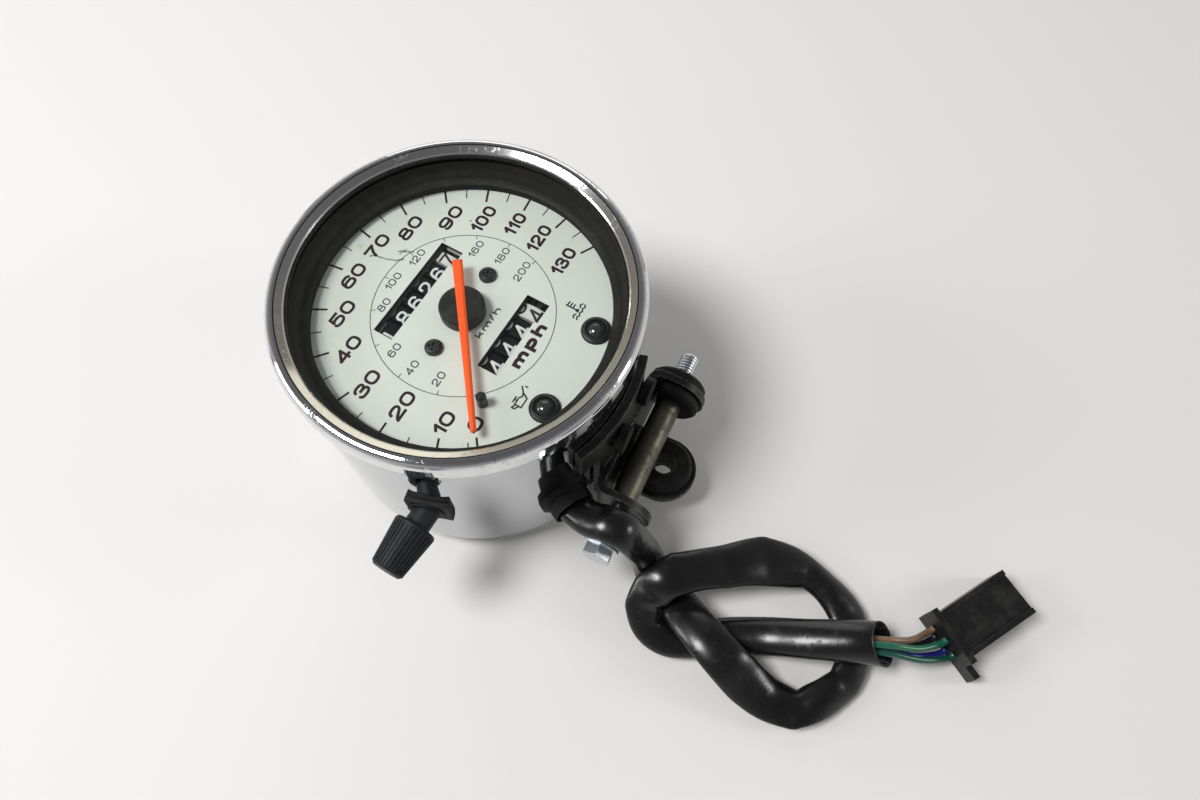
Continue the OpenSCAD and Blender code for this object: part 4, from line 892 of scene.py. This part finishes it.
# words as pen lines round their centre; level is the share of the height that the centre is at
def wordLines(words, centre, look, level=0.5):
    size = look["high"] - look["pen"]
    lines, at = [], 0.0
    for letter in words:
        drawn = [strokePoints(*stroke) for stroke in strokes[letter]]
        lines += [[(at + x * size * look["wide"], (y - level) * size) for x, y in line] for line in drawn]
        at += max(x for line in drawn for x, _ in line) * size * look["wide"] + look["pen"] + look["gap"]
    shift = centre[0] - (at - look["pen"] - look["gap"]) / 2
    return [[(x + shift, y + centre[1]) for x, y in line] for line in lines]


def printWords(target, words, centre, look, level=0.5):
    printLines(target, wordLines(words, centre, look, level), look["pen"])


# the figures' places are scaled by grow, and a unit's small letters centre at this share of their height
grow = 1.05
unitLevel = 0.36
mphScale = {
    "clock": [-128.9, -114.1, -91.6, -70.5, -49.7, -28.9, -8.5, 10.95, 30.1, 48.7, 66.35, 84.0, 101.2, 118.6],
    "centre": [(-25.1, -20.4), (-28.8, -13.5), (-30.2, -1.7), (-29.8, 9.5), (-24.2, 19.6), (-16.4, 27.4),
               (-5.5, 31.9), (5.5, 32.0), (15.0, 27.7), (23.5, 20.0), (27.8, 11.9), (30.8, 3.4),
               (30.1, -4.8), (27.1, -14.5)],
    # inner and outer end, and width
    "long": (37.8, 42.3, 0.62),
    "short": (39.0, 42.3, 0.32),
    "ink": ((0.022, 0.0048, 0.0085), (0.040, 0.0120, 0.0165)),
    "firstShort": -125.5,
    "figures": {"high": 4.0, "pen": 0.86, "wide": 1.17, "gap": 0.42},
    "narrow": 0.88,
    "unit": {"high": 3.3, "pen": 1.12, "wide": 1.87, "gap": 0.9},
    "unitAt": (0.28, -21.5),
}
kmhScale = {
    "ring": 25.75,
    "ringSteps": 120,
    "line": 0.22,
    "tick": 1.3,
    "clock": [-108, -81, -54.5, -28.5, -3.5, 20, 43.5, 65, 87.6, 109],
    "words": {"20": (-19.4, -5.4), "40": (-20.2, 2.3), "60": (-18.4, 9.2), "80": (-8.7, 19.5),
              "100": (-1.4, 21.7), "120": (8.0, 20.5), "160": (18.4, 8.2), "180": (20.1, 0.8),
              "200": (18.6, -6.5)},
    "ink": ((0.050, 0.060, 0.060), (0.10, 0.11, 0.108)),
    "figures": {"high": 2.28, "pen": 0.38, "wide": 0.98, "gap": 0.36},
    "unit": {"high": 1.68, "pen": 0.50, "wide": 2.25, "gap": 0.60},
    "unitAt": (0.75, -7.85),
}


def makeScales():
    mph = bmesh.new()
    for i, (clock, (x, y)) in enumerate(zip(mphScale["clock"], mphScale["centre"])):
        printTick(mph, clock, *mphScale["long"])
        if i:
            middle = (clock + mphScale["clock"][i - 1]) / 2 if i > 1 else mphScale["firstShort"]
            printTick(mph, middle, *mphScale["short"])
        words = str(10 * i)
        figures = dict(mphScale["figures"])
        if len(words) > 2:
            figures["wide"] = mphScale["narrow"]
        printWords(mph, words, (x * grow, y * grow), figures)
    printWords(mph, "mph", mphScale["unitAt"], mphScale["unit"], unitLevel)
    makePiece("scale_mph", mph, inkFinish("maroonInk", *mphScale["ink"]))
    kmh = bmesh.new()
    ring, line = kmhScale["ring"], kmhScale["line"]
    printRing(kmh, ring, line, kmhScale["ringSteps"])
    for clock in kmhScale["clock"]:
        printTick(kmh, clock, ring - kmhScale["tick"], ring, line)
    for words, (x, y) in kmhScale["words"].items():
        printWords(kmh, words, (x * grow, y * grow), kmhScale["figures"])
    printWords(kmh, "km/h", kmhScale["unitAt"], kmhScale["unit"], unitLevel)
    makePiece("scale_kmh", kmh, inkFinish("greyInk", *kmhScale["ink"]))


makeScales()

# plain warning signs beside the lamps: a thermometer over waves, and an oil can
signs = {
    "thermometer": {
        "at": (16.5, -25.7),
        "lines": [
            [(0, -1.2), (0, 2.3)], [(0, 2.0), (1.3, 2.0)], [(0, 1.1), (1.3, 1.1)], [(0, 0.2), (1.3, 0.2)],
            [(-2.6, -1.5), (-1.9, -1.1), (-1.2, -1.5)], [(1.2, -1.5), (1.9, -1.1), (2.6, -1.5)],
            [(-2.6, -2.6), (-1.9, -2.2), (-1.2, -2.6), (-0.4, -2.2), (0.4, -2.6), (1.2, -2.2), (1.9, -2.6),
             (2.6, -2.2)],
        ],
        "dot": (0, -1.3),
    },
    "oilCan": {
        "at": (-14.7, -27.9),
        "lines": [
            [(-1.7, -1.3), (1.3, -1.3), (2.3, 0.5), (1.2, 0.1), (0.5, 0.7), (-1.7, 0.7), (-1.7, -1.3)],
            [(2.3, 0.5), (3.7, 1.7)], [(-0.5, 0.7), (-0.5, 1.5)], [(-1.3, 1.5), (0.3, 1.5)],
            [(-1.7, 0.4), (-2.9, 0.9), (-2.9, 0.1), (-1.7, -0.6)], [(4.2, 0.9), (4.2, 0.3)],
        ],
    },
    "pen": 0.46,
    "dotWide": 1.1,
    "dotLong": 0.01,
    "ink": ((0.02, 0.02, 0.022), (0.05, 0.05, 0.05)),
}


def makeSigns():
    bm = bmesh.new()
    for sign in (signs["thermometer"], signs["oilCan"]):
        ox, oy = sign["at"]
        printLines(bm, [[(x + ox, y + oy) for x, y in line] for line in sign["lines"]], signs["pen"])
        if "dot" in sign:
            x, y = sign["dot"]
            printLines(bm, [[(x + ox, y + oy), (x + ox, y + oy + signs["dotLong"])]], signs["dotWide"])
    makePiece("lamp_signs", bm, inkFinish("blackInk", *signs["ink"]))


makeSigns()
print("dial printed")

# number drums: digits 0 to 9 bent round each drum, the shown one on top
drums = {
    "radius": 9.5,
    "axisLevel": 54.0,
    "proud": 0.05,
    "sunk": 0.04,
    "step": 36.0,
    "odometer": {"y": 14.7, "middle": -0.4, "pitch": 5.5, "width": 4.6, "lastWidth": 3.5,
                 "shows": [1.15, 8.15, 6.15, 2.15, 6.15, 7.12]},
    "trip": {"y": -15.9, "middle": 1.05, "pitch": 6.4, "width": 5.5, "lastWidth": 4.4,
             "shows": [4.12, 4.12, 4.12, 4.25]},
    "gap": 0.45,
    "aside": -0.4,
    # a one is a plain bar near the drum's left rim
    "oneAside": -1.3,
    "figures": {"high": 5.0, "pen": 0.74, "wide": 0.76, "gap": 0.0},
    # a digit is cut into strips before it is bent: cuts to either side of its middle, and their distance
    "cuts": 4,
    "cutEvery": 0.58,
}
whiteInk = inkFinish("digitWhite", (0.74, 0.75, 0.74), (0.62, 0.63, 0.62))
darkInk = inkFinish("digitBlack", (0.022, 0.022, 0.026), (0.05, 0.05, 0.05))


def bentDigit(value):
    look = drums["figures"]
    word, aside = (["bar"], drums["oneAside"]) if value == 1 else (str(value), 0.0)
    bm = penMesh(wordLines(word, (aside, 0.0), look), look["pen"])
    proud, sunk = drums["proud"], drums["sunk"]
    flat = Matrix.Diagonal((1.0, 1.0, (proud + sunk) / look["pen"], 1.0))
    moveAll(bm, Matrix.Translation((0, 0, (proud - sunk) / 2)) @ flat)
    for cut in range(-drums["cuts"], drums["cuts"] + 1):
        geom = bm.verts[:] + bm.edges[:] + bm.faces[:]
        middle = (0, cut * drums["cutEvery"], 0)
        bmesh.ops.bisect_plane(bm, geom=geom, dist=1e-5, plane_co=middle, plane_no=(0, 1, 0))
    for v in bm.verts:
        reach = drums["radius"] + v.co.z
        turn = v.co.y / drums["radius"]
        v.co = (v.co.x, reach * sin(turn), reach * cos(turn))
    return meshFrom(bm, "digit")


def makeDigits():
    shapes = [bentDigit(value) for value in range(10)]
    for kind in ("odometer", "trip"):
        row = drums[kind]
        count = len(row["shows"])
        for i, shown in enumerate(row["shows"]):
            last = i == count - 1
            right = row["middle"] + (i + 1 - count / 2) * row["pitch"] - drums["gap"]
            left = right - row["width"]
            middle = (left + right) / 2 + drums["aside"]
            if last:
                middle = left + row["lastWidth"] / 2
            bm = bmesh.new()
            place = Matrix.Translation((middle, row["y"], drums["axisLevel"]))
            for value, shape in enumerate(shapes):
                digit = bmesh.new()
                digit.from_mesh(shape)
                turn = radians(drums["step"]) * (value - shown)
                moveAll(digit, toMetres @ place @ Matrix.Rotation(-turn, 4, "X"))
                joinInto(bm, digit)
            makePiece(f"{kind}_digits_{i + 1}", bm, darkInk if last else whiteInk,
                      body=f"{kind}_drum_{i + 1}_body")
    for mesh in shapes:
        bpy.data.meshes.remove(mesh)


makeDigits()
print("drums numbered")

# windows: an enamel sill below all but the last drum, and a dark slope under the upper edge
windows = {
    "odometer": {"left": -17.0, "right": 16.2, "low": 11.1, "high": 18.3, "sillTo": (10.6, 12.25),
                 "reach": 1.0},
    "trip": {"left": -11.75, "right": 13.85, "low": -19.5, "high": -12.3, "sillTo": (7.45, -18.45),
             "reach": 0.4},
    "plate": (64.2, 65.0),
    # distance in from the upper edge, and level
    "slope": [(0.0, 64.2), (0.9, 63.7), (0.8, 63.45), (0.0, 63.05)],
}


def makeWindows(spec):
    sills, slopes = bmesh.new(), bmesh.new()
    under, over = spec["plate"]
    for window in (spec["odometer"], spec["trip"]):
        left, low, edge = window["left"], window["low"], window["high"]
        right, top = window["sillTo"]
        sill = [(left, low, under), (right, low, under), (right, top, under), (left, top, under)]
        joinInto(sills, pushOut(sill, (0, 0, over - under)))
        slope = [(left, edge - inward * window["reach"], level) for inward, level in spec["slope"]]
        joinInto(slopes, pushOut(slope, (window["right"] - left, 0, 0)))
    makePiece("window_sills", sills, finishes["dial_face"], crisp=40)
    makePiece("window_slopes", slopes, finishes["hub_plastic"], crisp=40)


makeWindows(windows)

# the shroud's lower rim, which stands clear of the dial
shroudRim = {
    "section": [(43.85, 68.5), (41.85, 68.3), (41.5, 68.0), (41.65, 67.7), (43.35, 67.45)],
    "steps": 160,
}
makePiece("shroud_rim", spinRound(**shroudRim), finishes["shroud_plastic"], crisp=60)

# warning lamps: a low stepped rim on the tube, and a dark glass dome in it; radius and level
lamps = {
    "places": [(-13.5, -34.8), (13.5, -34.8)],
    "rimSteps": 56,
    "domeSteps": 48,
    "rim": [(2.95, 51.2), (4.05, 51.2), (4.05, 62.8), (5.25, 62.8), (5.25, 64.2), (4.05, 64.2),
            (4.05, 65.0), (4.28, 65.02), (4.32, 65.3), (4.2, 65.6), (3.9, 65.85), (3.55, 65.95),
            (3.45, 66.25), (3.25, 66.4), (3.05, 66.35), (2.95, 66.0)],
    "dome": [(0, 67.1), (0.7, 67.04), (1.4, 66.82), (2.0, 66.45), (2.5, 65.95), (2.8, 65.4), (2.86, 64.9),
             (2.86, 64.2), (0, 64.0)],
}


def makeLamps(spec):
    rims, domes = bmesh.new(), bmesh.new()
    for place in spec["places"]:
        joinInto(rims, spinRound(spec["rim"], spec["rimSteps"], place))
        joinInto(domes, spinRound(spec["dome"], spec["domeSteps"], place))
    makePiece("lamp_rims", rims, finishes["lamp_plastic"], ["lamp_tubes"], crisp=50)
    makePiece("lamp_domes", domes, lampGlass, ["lamp_lenses"], crisp=50)


makeLamps(lamps)

# the needle's upper side: its own outline, pulled in and up to a ridge
needle = {
    "outline": [(-14.4, -1.45), (37.7, -0.8), (38.3, 0), (37.7, 0.8), (-14.4, 1.45)],
    "turn": 218.5,
    "levels": (69.66, 69.78),
    "inset": 0.62,
    "ridge": 0.42,
}


def makeNeedle(spec):
    low, high = spec["levels"]
    bm = pushOut([(x, y, low) for x, y in spec["outline"]], (0, 0, high - low))
    bm.normal_update()
    top = max(bm.faces, key=lambda face: face.calc_center_median().z)
    bmesh.ops.recalc_face_normals(bm, faces=bm.faces)
    bmesh.ops.inset_region(bm, faces=[top], thickness=spec["inset"] * mm, depth=spec["ridge"] * mm,
                           use_even_offset=True)
    moveAll(bm, Matrix.Rotation(radians(spec["turn"]), 4, "Z"))
    makePiece("pointer_ridge", bm, finishes["pointer_orange"], crisp=15, body="pointer_set")


makeNeedle(needle)
print("windows, lamps and needle finished")

# thread rolled on the bolt's end, along the bracket's cross axis; root and crest give a radius and a share
# of the pitch
thread = {"from": 26.3, "to": 33.9, "pitch": 1.0, "root": (2.6, 0.92), "crest": (2.97, 0.14), "steps": 28,
          "turn": 5.0, "y": -58.3, "z": 25.0}


def makeThread(spec):
    bm = bmesh.new()
    turns = (spec["to"] - spec["from"]) / spec["pitch"]
    half = spec["pitch"] / 2
    (root, rootShare), (crest, crestShare) = spec["root"], spec["crest"]
    corners = [(-half * rootShare, root), (-half * crestShare, crest), (half * crestShare, crest),
               (half * rootShare, root)]
    verts = [bm.verts.new((x, r, 0)) for x, r in corners]
    edges = [bm.edges.new((verts[i], verts[(i + 1) % 4])) for i in range(4)]
    steps = round(spec["steps"] * turns)
    ends = bmesh.ops.spin(bm, geom=verts + edges, cent=(0, 0, 0), axis=(1, 0, 0), angle=2 * pi * turns,
                          dvec=(spec["pitch"] * turns / steps, 0, 0), steps=steps)["geom_last"]
    bmesh.ops.contextual_create(bm, geom=[g for g in ends if isinstance(g, bmesh.types.BMEdge)])
    bmesh.ops.contextual_create(bm, geom=edges)
    turn = Matrix.Rotation(radians(spec["turn"]), 4, "Z")
    place = Matrix.Translation((spec["from"], spec["y"], spec["z"]))
    moveAll(bm, toMetres @ turn @ place)
    makePiece("bolt_thread", bm, finishes["bright_zinc"])


makeThread(thread)
print("bolt threaded")

# pale floor, soft lamps, and a room that is pale at the horizon and darker overhead
studio = {
    "floorHalf": 3.0,
    "floorLevel": -0.0002,
    "floorColours": ((0.745, 0.735, 0.72), (0.72265, 0.71295, 0.6984)),
    # name, place, target, size and power
    "lamps": [
        ("overhead", (-0.36, 0.40, 1.04), (0, -0.05, 0.03), 0.4, 10.4),
        ("farSoftbox", (0.95, 0.55, 0.50), (0, -0.04, 0.04), 0.9, 2.2),
        ("leftSoftbox", (-0.60, 0.95, 0.65), (0, -0.04, 0.04), 0.45, 4.2),
        ("rightSoftbox", (0.55, -1.05, 0.55), (0, -0.06, 0.03), 0.35, 3.0),
    ],
    "fill": 0.24,
    "seen": [(0.0, (0.72, 0.72, 0.71)), (0.3, (0.42, 0.42, 0.425)), (0.7, (0.17, 0.17, 0.175)),
             (1.0, (0.11, 0.11, 0.115))],
}


def setStage(spec):
    bm = bmesh.new()
    bmesh.ops.create_grid(bm, x_segments=1, y_segments=1, size=spec["floorHalf"])
    f = Finish("paleFloor")
    cloud = f.noise(3, 3, 0.5)
    pale = f.surface(
        Base_Color=f.mix(cloud, *spec["floorColours"]),
        Roughness=f.between(cloud, 0.75, 0.85),
        Specular_IOR_Level=0.2,
    )
    floor = addObject("floor", meshFrom(bm, "floor"))
    floor.data.materials.append(pale)
    floor.location.z = spec["floorLevel"]
    for name, place, target, size, power in spec["lamps"]:
        lamp = bpy.data.lights.new(name, "AREA")
        lamp.shape = "DISK"
        lamp.size = size
        lamp.energy = power
        holder = addObject(name, lamp)
        holder.location = place
        holder.rotation_euler = (Vector(target) - Vector(place)).to_track_quat("-Z", "Y").to_euler()
    room = Finish("paleRoom", bpy.data.worlds.new("paleRoom"))
    tone = room.add("ValToRGB", {"stops": spec["seen"]}, {0: room.axes().out("Z")})
    rays = room.add("LightPath")
    seen = rays.out("Is Camera Ray").most(rays.out("Is Glossy Ray")).most(rays.out("Is Transmission Ray"))
    fill = room.add("Background", {}, {"Color": (1.0, 1.0, 1.0), "Strength": spec["fill"]})
    view = room.add("Background", {}, {"Color": tone, "Strength": 1.0})
    scene.world = room.finishWith(room.add("MixShader", {}, {0: seen, 1: fill, 2: view}))
    scene.view_settings.view_transform = "Standard"


setStage(studio)
print("stage set")
